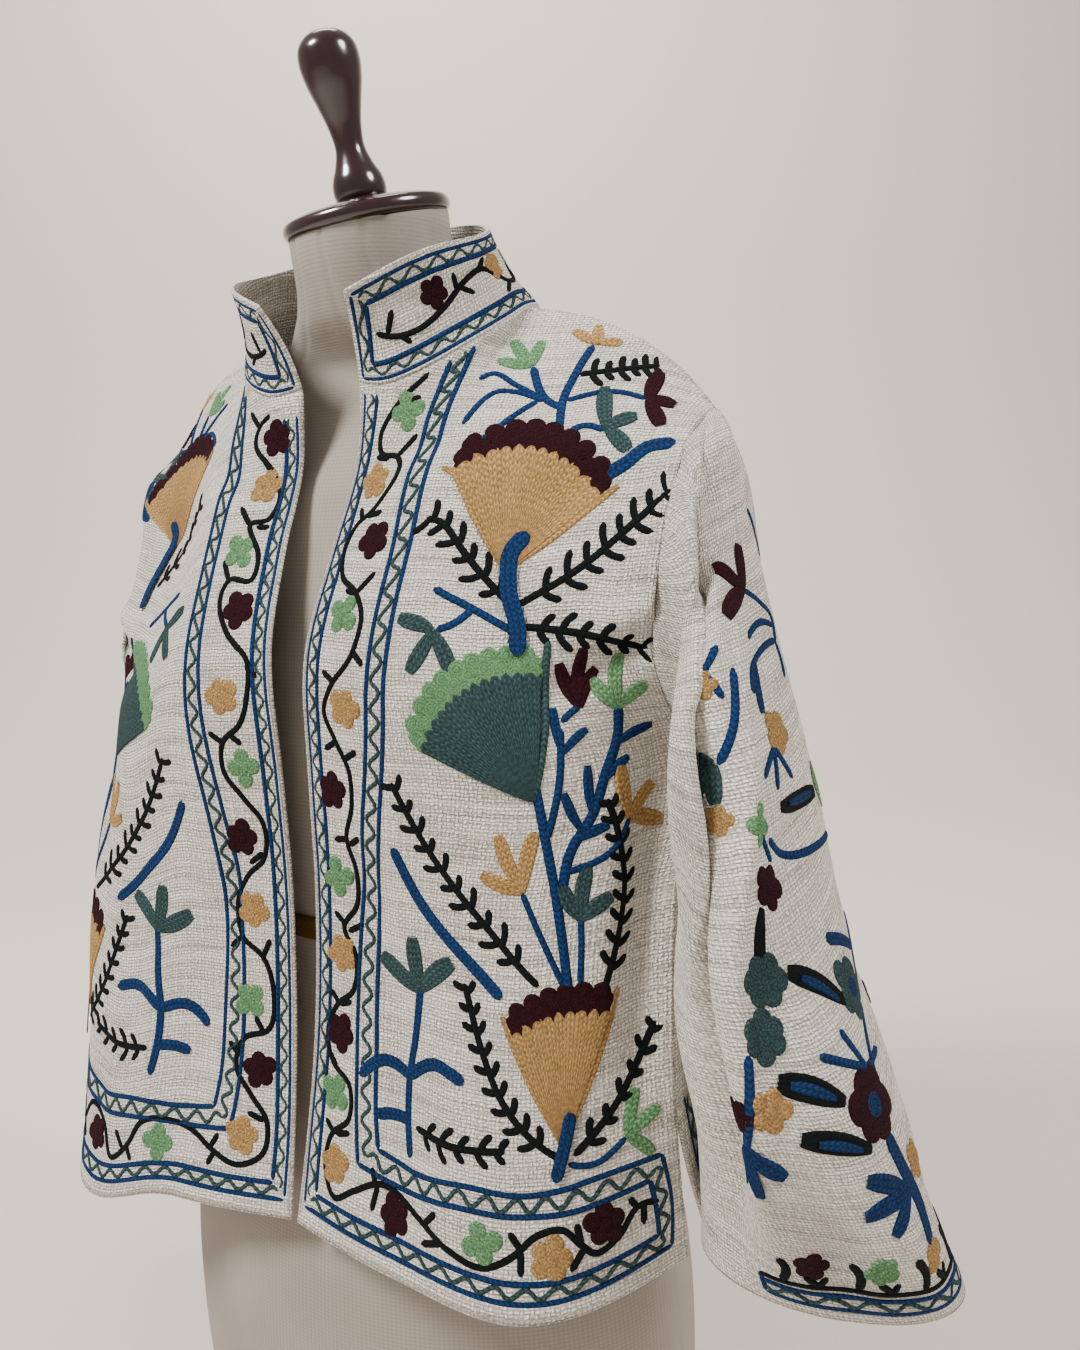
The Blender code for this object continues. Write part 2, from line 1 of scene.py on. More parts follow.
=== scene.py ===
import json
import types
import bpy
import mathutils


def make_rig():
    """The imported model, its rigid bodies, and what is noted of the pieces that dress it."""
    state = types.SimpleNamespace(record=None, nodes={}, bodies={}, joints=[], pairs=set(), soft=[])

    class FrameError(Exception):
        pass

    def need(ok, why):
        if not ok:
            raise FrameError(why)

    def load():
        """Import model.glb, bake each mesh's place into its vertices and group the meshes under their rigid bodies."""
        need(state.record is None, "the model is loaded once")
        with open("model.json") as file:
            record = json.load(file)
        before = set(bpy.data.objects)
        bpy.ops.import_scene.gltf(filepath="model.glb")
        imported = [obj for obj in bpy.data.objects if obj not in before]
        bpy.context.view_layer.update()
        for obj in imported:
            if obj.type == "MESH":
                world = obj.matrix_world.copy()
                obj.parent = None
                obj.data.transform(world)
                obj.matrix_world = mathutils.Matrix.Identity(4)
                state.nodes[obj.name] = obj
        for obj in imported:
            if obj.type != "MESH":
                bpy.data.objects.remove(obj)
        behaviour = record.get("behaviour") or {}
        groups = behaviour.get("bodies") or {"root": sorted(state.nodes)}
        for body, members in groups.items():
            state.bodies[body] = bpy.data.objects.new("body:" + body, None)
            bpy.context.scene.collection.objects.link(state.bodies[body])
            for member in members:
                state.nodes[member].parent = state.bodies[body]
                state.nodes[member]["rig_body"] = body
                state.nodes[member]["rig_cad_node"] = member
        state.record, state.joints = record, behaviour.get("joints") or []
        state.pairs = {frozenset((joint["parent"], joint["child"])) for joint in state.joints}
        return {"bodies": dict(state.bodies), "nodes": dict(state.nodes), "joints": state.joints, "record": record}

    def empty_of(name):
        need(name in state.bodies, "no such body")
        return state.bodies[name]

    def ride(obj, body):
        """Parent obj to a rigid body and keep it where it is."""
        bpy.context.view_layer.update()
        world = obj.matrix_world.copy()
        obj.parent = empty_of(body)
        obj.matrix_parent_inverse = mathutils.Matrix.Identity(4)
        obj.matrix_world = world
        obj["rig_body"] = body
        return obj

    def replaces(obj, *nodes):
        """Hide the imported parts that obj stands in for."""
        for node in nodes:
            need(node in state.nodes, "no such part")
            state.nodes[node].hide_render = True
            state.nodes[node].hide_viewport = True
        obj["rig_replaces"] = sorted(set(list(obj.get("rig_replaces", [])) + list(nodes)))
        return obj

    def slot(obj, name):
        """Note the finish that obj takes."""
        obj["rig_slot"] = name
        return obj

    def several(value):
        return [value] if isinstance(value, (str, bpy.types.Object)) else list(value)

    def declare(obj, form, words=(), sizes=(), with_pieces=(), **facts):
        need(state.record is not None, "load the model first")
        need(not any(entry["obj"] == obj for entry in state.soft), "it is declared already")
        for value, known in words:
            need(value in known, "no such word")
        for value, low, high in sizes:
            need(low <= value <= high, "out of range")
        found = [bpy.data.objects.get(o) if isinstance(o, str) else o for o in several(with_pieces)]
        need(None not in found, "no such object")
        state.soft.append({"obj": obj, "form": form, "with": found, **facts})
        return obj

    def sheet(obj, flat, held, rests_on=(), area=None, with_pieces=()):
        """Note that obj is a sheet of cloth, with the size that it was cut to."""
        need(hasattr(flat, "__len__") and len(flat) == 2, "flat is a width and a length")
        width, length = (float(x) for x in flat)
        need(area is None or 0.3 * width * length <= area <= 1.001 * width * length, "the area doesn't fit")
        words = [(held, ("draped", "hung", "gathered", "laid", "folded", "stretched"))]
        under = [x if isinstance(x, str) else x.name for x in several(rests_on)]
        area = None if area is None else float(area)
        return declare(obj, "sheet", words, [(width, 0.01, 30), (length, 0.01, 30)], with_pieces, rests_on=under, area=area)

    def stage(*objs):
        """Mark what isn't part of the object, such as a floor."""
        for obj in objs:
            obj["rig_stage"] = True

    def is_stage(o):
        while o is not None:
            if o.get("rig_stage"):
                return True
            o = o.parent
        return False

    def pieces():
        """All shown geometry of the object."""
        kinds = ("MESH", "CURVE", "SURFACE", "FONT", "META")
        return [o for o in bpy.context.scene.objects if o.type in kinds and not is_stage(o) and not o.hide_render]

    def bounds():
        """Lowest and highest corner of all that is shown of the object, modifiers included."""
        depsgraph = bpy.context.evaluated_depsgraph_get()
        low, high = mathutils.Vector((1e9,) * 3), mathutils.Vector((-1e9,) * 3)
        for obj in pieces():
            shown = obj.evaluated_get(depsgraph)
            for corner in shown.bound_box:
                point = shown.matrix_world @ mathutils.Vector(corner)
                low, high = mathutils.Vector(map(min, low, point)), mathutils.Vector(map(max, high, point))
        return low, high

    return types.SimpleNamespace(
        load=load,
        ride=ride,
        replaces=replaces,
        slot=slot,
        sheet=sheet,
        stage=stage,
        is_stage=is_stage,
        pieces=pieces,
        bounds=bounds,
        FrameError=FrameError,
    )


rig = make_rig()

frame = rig.load()
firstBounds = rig.bounds()

import json
import math
from functools import partial

import bpy
import numpy as np
from mathutils import Euler, Matrix, Vector


# The jacket, in metres. The wearer faces -Y and the wearer's left side is +X.
jacket = {
    "hem": 0.26,          # height of the front hem above the underside of the form
    "cloth": 0.0013,      # thickness of the cloth
    "shoulder": [(0.107, 0.014, 0.544), (0.157, 0.014, 0.531), (0.184, 0.014, 0.517),
                 (0.208, 0.014, 0.498), (0.230, 0.012, 0.4725)],
    # coarse steps of its pieces, the same as the solids have
    "steps": {"front": 15, "neck": 6, "low": 9, "slit": 3, "arm": 10, "sleeve": 15, "collar": 4},
    # how many fine steps stand for one of them
    "finer": {"across": 6, "up": 8, "round": 7, "sleeve": 9, "collar": 7},
}
steps = jacket["steps"]
mirror = np.array([-1.0, 1.0, 1.0])


def spline(knots, points, at):
    knots, points = np.asarray(knots, float), np.asarray(points, float)
    at = np.atleast_1d(at)
    step = np.diff(knots)[:, None]
    slope = np.diff(points, axis=0) / step
    tangent = np.empty_like(points)
    tangent[1:-1] = (slope[1:] * step[:-1] + slope[:-1] * step[1:]) / (step[1:] + step[:-1])
    tangent[0] = 1.5 * slope[0] - 0.5 * tangent[1]
    tangent[-1] = 1.5 * slope[-1] - 0.5 * tangent[-2]
    i = np.clip(np.searchsorted(knots, at, side="right") - 1, 0, len(knots) - 2)
    s = ((at - knots[i])[:, None]) / step[i]
    start = (2 * s**3 - 3 * s**2 + 1) * points[i] + (s**3 - 2 * s**2 + s) * step[i] * tangent[i]
    end = (3 * s**2 - 2 * s**3) * points[i + 1] + (s**3 - s**2) * step[i] * tangent[i + 1]
    return start + end


def lengths(points):
    return np.concatenate([[0.0], np.cumsum(np.linalg.norm(np.diff(points, axis=0), axis=1))])


def even(points, count):
    points = np.asarray(points, float)
    fine = spline(lengths(points), points, np.linspace(0, lengths(points)[-1], 240))
    along = lengths(fine)
    at = np.linspace(0, along[-1], count + 1)
    return np.stack([np.interp(at, along, fine[:, k]) for k in range(3)], axis=1)


def columns(sections):
    sections = np.asarray(sections)
    low, arm = steps["low"], steps["arm"]
    grid = np.empty((low + arm + 1, sections.shape[1], 3))
    for j in range(sections.shape[1]):
        knots = lengths(sections[:, j])
        upper = np.linspace(knots[3], knots[-1], arm + 1)[1:]
        at = np.concatenate([np.linspace(0, knots[3], low + 1), upper])
        grid[:, j] = spline(knots, sections[:, j], at)
    return grid


frontCut = {
    # height above the hem, then x, y of the front edge, a middle point, a corner and the side seam
    "sections": [
        (0.000, 0.003, -0.146, 0.090, -0.162, 0.176, -0.163, 0.239, -0.087),
        (0.100, 0.008, -0.122, 0.090, -0.134, 0.182, -0.131, 0.235, -0.088),
        (0.205, 0.010, -0.112, 0.090, -0.121, 0.176, -0.110, 0.229, -0.062),
        (0.270, 0.011, -0.112, 0.090, -0.121, 0.170, -0.099, 0.227, -0.030),
        (0.340, 0.014, -0.110, 0.090, -0.118, 0.164, -0.090, 0.219, -0.062),
        (0.405, 0.020, -0.082, 0.085, -0.094, 0.158, -0.068, 0.223, -0.053),
        (0.455, 0.023, -0.057, 0.080, -0.070, 0.156, -0.048, 0.229, -0.029),
    ],
    # the hem hangs lower at those four points
    "hemDrop": (0.013, 0.012, 0.010, 0.000),
    "neck": [(0.024, -0.051, 0.502), (0.048, -0.054, 0.499), (0.080, -0.044, 0.511),
             (0.102, -0.018, 0.529), (0.107, 0.014, 0.544)],
}


def frontGrid():
    sections = []
    for row in frontCut["sections"]:
        line = np.array([(row[k], row[k + 1], row[0]) for k in (1, 3, 5, 7)])
        if not sections:
            line[:, 2] -= frontCut["hemDrop"]
        sections.append(even(line, steps["front"]))
    neck = even(frontCut["neck"], steps["neck"])
    shoulder = even(jacket["shoulder"], steps["front"] - steps["neck"])[1:]
    return columns(sections + [np.vstack([neck, shoulder])])


backCut = {
    # height, middle y, quarter x, y, corner x, y, flank x, y of its left half
    "sections": [
        (0.000, 0.150, 0.095, 0.146, 0.188, 0.108, 0.238, 0.020),
        (0.100, 0.139, 0.095, 0.134, 0.182, 0.098, 0.229, 0.015),
        (0.205, 0.120, 0.095, 0.116, 0.172, 0.086, 0.221, 0.018),
        (0.270, 0.116, 0.095, 0.113, 0.168, 0.086, 0.222, 0.020),
        (0.340, 0.116, 0.090, 0.114, 0.150, 0.100, 0.195, 0.074),
        (0.405, 0.111, 0.085, 0.108, 0.145, 0.092, 0.190, 0.068),
        (0.455, 0.100, 0.080, 0.095, 0.140, 0.076, 0.188, 0.056),
    ],
    "armhole": [(0.227, -0.030), (0.224, 0.036), (0.226, 0.044), (0.229, 0.038)],
    "neck": [(0.000, 0.086, 0.562), (0.062, 0.076, 0.559), (0.096, 0.050, 0.552),
             (0.107, 0.014, 0.544)],
}


def backGrid(front):
    sections = []
    for k, row in enumerate(backCut["sections"]):
        sideX, sideY = frontCut["sections"][k][7:9] if k < 3 else backCut["armhole"][k - 3]
        middle = [(row[j], row[j + 1], row[0]) for j in (2, 4, 6)]
        line = [(0, row[1], row[0])] + middle + [(sideX, sideY, row[0])]
        sections.append(even(line, steps["front"]))
    neck = even(backCut["neck"], steps["neck"])
    sections.append(np.vstack([neck, even(jacket["shoulder"], steps["front"] - steps["neck"])[1:]]))
    grid = columns(sections)
    seam = grid[:, -1].copy()
    seam[:steps["low"] + 1] = front[:steps["low"] + 1, -1]
    for i in range(steps["slit"]):
        seam[i] += np.array((0.003, 0.024, 0.0)) * (1 - i / steps["slit"]) ** 1.3
    pull = (np.arange(steps["front"] + 1) / steps["front"]) ** 4
    return grid + pull[None, :, None] * (seam - grid[:, -1])[:, None, :]


sleeveCut = {
    # length share, middle x, y, height, half long, half deep, tilt, turn and roundness of its rings
    "rings": [
        (0.06, 0.2380, -0.008, 0.3640, 0.093, 0.056, 88.0, 0.0, 0.86),
        (0.18, 0.2420, -0.009, 0.3280, 0.084, 0.063, 85.0, 0.0, 0.86),
        (0.35, 0.2530, -0.033, 0.2890, 0.062, 0.079, 75.0, -3.0, 0.90),
        (0.50, 0.2660, -0.040, 0.2420, 0.043, 0.084, 57.0, -2.0, 0.95),
        (0.65, 0.2750, -0.056, 0.1870, 0.039, 0.083, 35.0, -3.0, 1.00),
        (0.80, 0.2950, -0.070, 0.1160, 0.050, 0.074, 6.0, 6.0, 1.00),
        (1.00, 0.3150, -0.067, 0.0090, 0.070, 0.045, -9.0, 25.0, 0.95),
    ],
    # share round it, width, depth, and the shares of its length where the fold starts and ends
    "folds": [(0.14, 0.045, 0.012, 0.10, 0.72), (0.62, 0.050, 0.008, 0.08, 0.60),
              (0.84, 0.060, 0.010, 0.30, 0.95)],
    "rightPushedBack": 0.125,   # how much further back the right one hangs
}


def sleeveGrid(front, back, pushedBack):
    arm, low = steps["arm"], steps["low"]
    turn = np.arange(2 * arm) / (2 * arm)
    rings = [np.vstack([front[low:, -1], back[low + 1:-1, -1][::-1]])]
    for _, x, y, z, halfLong, halfDeep, tilt, turned, power in sleeveCut["rings"]:
        cos, sin = np.cos(2 * math.pi * turn), np.sin(2 * math.pi * turn)
        out, rear = -np.sign(cos) * np.abs(cos) ** power, -np.sign(sin) * np.abs(sin) ** power
        lean, yaw = math.radians(tilt), math.radians(turned)
        flat = halfLong * math.cos(lean) * out
        rings.append(np.stack([x + flat * math.cos(yaw) - halfDeep * rear * math.sin(yaw),
                               y + flat * math.sin(yaw) + halfDeep * rear * math.cos(yaw),
                               z + halfLong * math.sin(lean) * out], axis=1))
    at = np.linspace(0, 1, steps["sleeve"] + 1)
    knots = [0.0] + [row[0] for row in sleeveCut["rings"]]
    grid = np.stack([spline(knots, [ring[j] for ring in rings], at) for j in range(2 * arm)], axis=1)
    grid[:, :, 1] += pushedBack * np.sin(math.pi / 2 * np.clip(at / 0.35, 0, 1))[:, None]
    middle = grid.mean(axis=1, keepdims=True)
    for place, width, depth, start, end in sleeveCut["folds"]:
        away = (turn - place + 0.5) % 1.0 - 0.5
        along = np.clip((at - start) / (end - start), 0, 1)
        dent = depth * np.outer(np.sin(math.pi * along), np.exp(-(away / width) ** 2))
        inward = middle - grid
        grid += inward / np.linalg.norm(inward, axis=2, keepdims=True) * dent[:, :, None]
    return grid[:, ::-1]


collarCut = {
    "top": [(0.034, -0.075, 0.552), (0.074, -0.057, 0.571), (0.089, -0.010, 0.587),
            (0.073, 0.028, 0.600), (0.046, 0.058, 0.612), (0.000, 0.071, 0.618)],
}


def collarGrid(front, back):
    count = steps["neck"]
    base = np.vstack([front[-1, :count], back[-1, :count + 1][::-1]])
    half = even(collarCut["top"], len(base) - 1)
    base = np.vstack([base, base[-2::-1] * mirror])
    top = np.vstack([half, half[-2::-1] * mirror])
    share = (np.arange(steps["collar"] + 1) / steps["collar"])[:, None, None]
    outward = np.stack([base[:, 0], base[:, 1] - 0.010, np.zeros(len(base))], axis=1)
    outward /= np.linalg.norm(outward, axis=1, keepdims=True)
    return base + (top - base) * share - 0.004 * np.sin(math.pi * share) * outward


def smoothStep(value):
    value = np.clip(value, 0, 1)
    return value * value * (3 - 2 * value)


def settled(grid):
    # the wearer's right shoulder is drawn back and in, and the hem drops on that side
    right, height = -grid[:, :, 0], grid[:, :, 2]
    pull = smoothStep(right / 0.20) * smoothStep((height - 0.28) / 0.13)
    pull *= 1 - 0.55 * smoothStep((height - 0.45) / 0.08)
    drop = smoothStep((right - 0.09) / 0.08) * np.clip(1 - height / 0.13, 0, 1.1)
    moved = grid.copy()
    moved[:, :, 0] *= 1 - 0.06 * pull
    moved[:, :, 1] += 0.026 * pull
    moved[:, :, 2] += jacket["hem"] - 0.018 * drop * (1 - smoothStep((right - 0.242) / 0.004))
    return moved


def refine(grid, up, across, closed):
    # a smooth grid through the coarse one
    rows, cols = grid.shape[:2]
    if closed:
        grid = np.concatenate([grid[:, -3:], grid, grid[:, :4]], axis=1)
        at = 3 + np.arange(cols * across) / across
    else:
        at = np.arange((cols - 1) * across + 1) / across
    wide = spline(np.arange(grid.shape[1]), grid.transpose(1, 0, 2).reshape(grid.shape[1], -1), at)
    wide = wide.reshape(len(at), rows, 3).transpose(1, 0, 2)
    tall = spline(np.arange(rows), wide.reshape(rows, -1), np.arange((rows - 1) * up + 1) / up)
    return tall.reshape(-1, len(at), 3)


def normalsOf(grid, closed):
    if closed:
        across = np.roll(grid, -1, axis=1) - np.roll(grid, 1, axis=1)
    else:
        across = np.gradient(grid, axis=1)
    normal = np.cross(across, np.gradient(grid, axis=0))
    return normal / np.linalg.norm(normal, axis=2, keepdims=True)


# Each material adds its nodes with the one function below. Colours are sRGB, turned to linear here.
def linear(hexText):
    values = [int(hexText[k:k + 2], 16) / 255 for k in (0, 2, 4)]
    return [v / 12.92 if v <= 0.04045 else ((v + 0.055) / 1.055) ** 2.4 for v in values] + [1.0]


def addNode(tree, kind, inputs=(), output=0, **settings):
    # one node with its settings. Inputs are values or the outputs of other nodes
    node = tree.nodes.new("ShaderNode" + kind)
    for key, value in settings.items():
        setattr(node, key, value)
    for key, value in (inputs.items() if isinstance(inputs, dict) else enumerate(inputs)):
        if isinstance(value, bpy.types.NodeSocket):
            tree.links.new(value, node.inputs[key])
        else:
            node.inputs[key].default_value = value
    return node.outputs[output]


def startMaterial(look):
    # the named surface, and its way to add nodes
    made = bpy.data.materials.new(look["name"])
    made.use_nodes = True
    shader = made.node_tree.nodes["Principled BSDF"]
    shader.inputs["Roughness"].default_value = look["roughness"]
    shader.inputs["IOR"].default_value = 1.5
    if "specular" in look:
        shader.inputs["Specular IOR Level"].default_value = look["specular"]
    return made, shader, partial(addNode, made.node_tree)


def dress(made, shader, add, look, bright, height=None):
    # from the dark tone to the light one, and the relief that the light catches
    links = made.node_tree.links
    tone = add("Mix", {0: bright, 6: linear(look["dark"]), 7: linear(look["light"])}, 2, data_type="RGBA")
    links.new(tone, shader.inputs["Base Color"])
    if height is not None:
        normal = add("Bump", {"Strength": look["relief"], "Distance": look["depth"], "Height": height})
        links.new(normal, shader.inputs["Normal"])
    return made


cottonLook = {
    "name": "basket_weave_cotton", "light": "F8F2E7", "dark": "7D7469", "roughness": 0.92, "specular": 0.2,
    "thread": 0.0025, "relief": 1.0, "depth": 0.0012,
}


def wovenCotton(look):
    # hand-woven slub cotton: a dull basket weave of uneven threads, 2.5 mm here so that it still shows
    made, shader, add = startMaterial(look)
    uv = add("UVMap", uv_map="cloth")
    u, v = (add("SeparateXYZ", (uv,), k) for k in (0, 1))
    wander = add("TexNoise", {"Vector": uv, "Scale": 210.0, "Detail": 2.0, "Roughness": 0.5})
    column = add("Math", (u, look["thread"]), operation="DIVIDE")
    warp = add("Math", (wander, 1.5, column), operation="MULTIPLY_ADD")
    row = add("Math", (v, look["thread"] * 0.86), operation="DIVIDE")
    weft = add("Math", (wander, 1.1, row), operation="MULTIPLY_ADD")
    side = [add("Math", (add("Math", (way, math.pi), operation="MULTIPLY"),), operation="SINE")
            for way in (warp, weft)]
    over = add("Math", (add("Math", side, operation="MULTIPLY"), 0.0), operation="GREATER_THAN")
    domeA, domeB = (add("Math", (one,), operation="ABSOLUTE") for one in side)
    endsA = add("Math", (domeB, 0.5, 0.5), operation="MULTIPLY_ADD")
    endsB = add("Math", (domeA, 0.3, 0.7), operation="MULTIPLY_ADD")
    longA = add("Math", (domeA, endsA), operation="MULTIPLY")
    longB = add("Math", (domeB, endsB), operation="MULTIPLY")
    rise = add("Mix", {0: over, 2: longB, 3: longA})
    # some threads are thicker for a stretch, which are the slubs, and some are thin and leave gaps;
    # bands of weft a few threads high are whiter or duller
    long = []
    for x, y, detail in ((420.0, 26.0, 1.0), (18.0, 420.0, 1.0), (14.0, 170.0, 2.0)):
        place = add("Mapping", {"Vector": uv, "Scale": (x, y, 1.0)})
        long.append(add("TexNoise", {"Vector": place, "Scale": 1.0, "Detail": detail, "Roughness": 0.5}))
    slubA, slubB, bands = long
    slub = add("Mix", {0: over, 2: slubB, 3: slubA})
    thick = add("MapRange", {0: slub, 1: 0.34, 2: 0.66, 3: 0.2, 4: 1.5})
    height = add("Math", (rise, thick), operation="MULTIPLY")
    soil = add("Math", (bands, 0.8, -0.26), operation="MULTIPLY_ADD")
    bright = add("Math", (height, 0.95, soil), operation="MULTIPLY_ADD")
    return dress(made, shader, add, look, bright, height)


def chainStitch(color, light, dark):
    # rows of soft twisted cotton in chain stitch: matt, the loops leaning to both sides of a row.
    # A stitch is 3.4 mm long, as large as it needs to be to show
    look = {"name": "chain_stitch_" + color, "light": light, "dark": dark, "roughness": 0.9, "specular": 0.15,
            "stitch": 0.0034, "relief": 1.0, "depth": 0.0012}
    made, shader, add = startMaterial(look)
    uv = add("UVMap", uv_map="stitch")
    u, v = (add("SeparateXYZ", (uv,), k) for k in (0, 1))
    wander = add("TexNoise", {"Vector": uv, "Scale": 60.0, "Detail": 1.0, "Roughness": 0.5})
    fromMiddle = add("Math", (add("Math", (v,), operation="FRACT"), 0.5), operation="SUBTRACT")
    inRow = add("Math", (fromMiddle,), operation="ABSOLUTE")
    fall = add("Math", (1.0, add("Math", (inRow, 1.9), operation="MULTIPLY")), operation="SUBTRACT")
    dome = add("Math", (fall, 0.5), operation="POWER")
    lean = add("Math", (inRow, 1.3, wander), operation="MULTIPLY_ADD")
    slant = add("Math", (add("Math", (u, look["stitch"]), operation="DIVIDE"), lean), operation="ADD")
    wave = add("Math", (add("Math", (slant, math.pi), operation="MULTIPLY"),), operation="SINE")
    loop = add("Math", (add("Math", (wave,), operation="ABSOLUTE"), 0.7), operation="POWER")
    bulge = add("Math", (loop, 0.7, 0.3), operation="MULTIPLY_ADD")
    stitch = add("Math", (dome, bulge), operation="MULTIPLY")
    # the loops are pulled unevenly and the soft thread is hairy
    place = add("TexCoord", output="Object")
    hair = add("TexNoise", {"Vector": place, "Scale": 520.0, "Detail": 2.0, "Roughness": 0.5})
    uneven = add("Math", (hair, 1.2, 0.4), operation="MULTIPLY_ADD")
    height = add("Math", (stitch, uneven), operation="MULTIPLY")
    tone = add("Math", (hair, 0.7, -0.3), operation="MULTIPLY_ADD")
    bright = add("Math", (height, 0.9, tone), operation="MULTIPLY_ADD")
    return dress(made, shader, add, look, bright, height)


coverLook = {"name": "knitted_cover", "light": "A79E93", "dark": "776E63", "roughness": 0.85, "relief": 0.35,
             "depth": 0.0004, "rib": 0.0022, "course": 0.0026}


def formCover(look):
    # knitted stretch cover of the form: a fine even mesh, matt and slightly rubbed
    made, shader, add = startMaterial(look)
    uv = add("UVMap", uv_map="cloth")
    waves = []
    for k, size in ((0, look["rib"]), (1, look["course"])):
        along = add("SeparateXYZ", (uv,), k)
        wave = add("Math", (add("Math", (along, math.pi / size), operation="MULTIPLY"),), operation="SINE")
        dome = add("Math", (wave,), operation="ABSOLUTE")
        waves.append(add("Math", (dome, 0.6, 0.4), operation="MULTIPLY_ADD"))
    height = add("Math", waves, operation="MULTIPLY")
    worn = add("TexNoise", {"Vector": uv, "Scale": 14.0, "Detail": 4.0, "Roughness": 0.5})
    rubbed = add("Math", (worn, 0.6), operation="MULTIPLY")
    bright = add("Math", (height, 0.45, rubbed), operation="MULTIPLY_ADD")
    return dress(made, shader, add, look, bright, height)


tapeLook = {"name": "waist_tape_satin", "light": "6B4C18", "dark": "3B280B", "roughness": 0.45, "relief": 0.4,
            "depth": 0.0003, "rib": 0.0016}


def waistTape(look):
    # ribbed satin tape, which shines a little, brown with a gold cast
    made, shader, add = startMaterial(look)
    across = add("SeparateXYZ", (add("UVMap", uv_map="cloth"),))
    turns = add("Math", (across, math.pi / look["rib"]), operation="MULTIPLY")
    wave = add("Math", (turns,), operation="SINE")
    ribs = add("Math", (wave,), operation="ABSOLUTE")
    return dress(made, shader, add, look, ribs, ribs)


woodLook = {"name": "polished_wood", "light": "2E070C", "dark": "0B0203", "roughness": 0.22,
            "grain": (260.0, 260.0, 16.0)}


def polishedWood(look):
    # dark red-brown turned hardwood under gloss varnish, which gives sharp highlights; grain along the axis
    made, shader, add = startMaterial(look)
    place = add("Mapping", {"Vector": add("TexCoord", output="Object"), "Scale": look["grain"]})
    grain = add("TexNoise", {"Vector": place, "Scale": 1.0, "Detail": 3.0, "Roughness": 0.5})
    shader.inputs["Coat Weight"].default_value = 0.8
    shader.inputs["Coat Roughness"].default_value = 0.06
    return dress(made, shader, add, look, grain)


def newMesh(name, points, faces, uvName, uvPoints, materials, materialIndex=None):
    mesh = bpy.data.meshes.new(name)
    mesh.from_pydata([tuple(point) for point in points], [], [tuple(face) for face in faces])
    layer = mesh.uv_layers.new(name=uvName)
    corner = np.empty(len(mesh.loops), int)
    mesh.loops.foreach_get("vertex_index", corner)
    layer.data.foreach_set("uv", np.asarray(uvPoints, float)[corner].ravel())
    for made in materials:
        mesh.materials.append(made)
    if materialIndex is not None:
        mesh.polygons.foreach_set("material_index", materialIndex)
    mesh.shade_smooth()
    mesh.update()
    made = bpy.data.objects.new(name, mesh)
    bpy.context.scene.collection.objects.link(made)
    return made


def quads(rows, cols, closed):
    i, j = np.meshgrid(np.arange(rows - 1), np.arange(cols if closed else cols - 1), indexing="ij")
    i, j = i.ravel(), j.ravel()
    k = (j + 1) % cols
    return np.stack([i * cols + j, i * cols + k, (i + 1) * cols + k, (i + 1) * cols + j], axis=1)


def edgeRing(rows, cols, closed):
    # pairs of points along the open edges, in the order that makes their end faces point outwards
    low = [(j, (j + 1) % cols) for j in range(cols if closed else cols - 1)]
    top = [((rows - 1) * cols + b, (rows - 1) * cols + a) for a, b in low]
    if closed:
        return low + top
    left = [((i + 1) * cols, i * cols) for i in range(rows - 1)]
    right = [(i * cols + cols - 1, (i + 1) * cols + cols - 1) for i in range(rows - 1)]
    return low + top + left + right


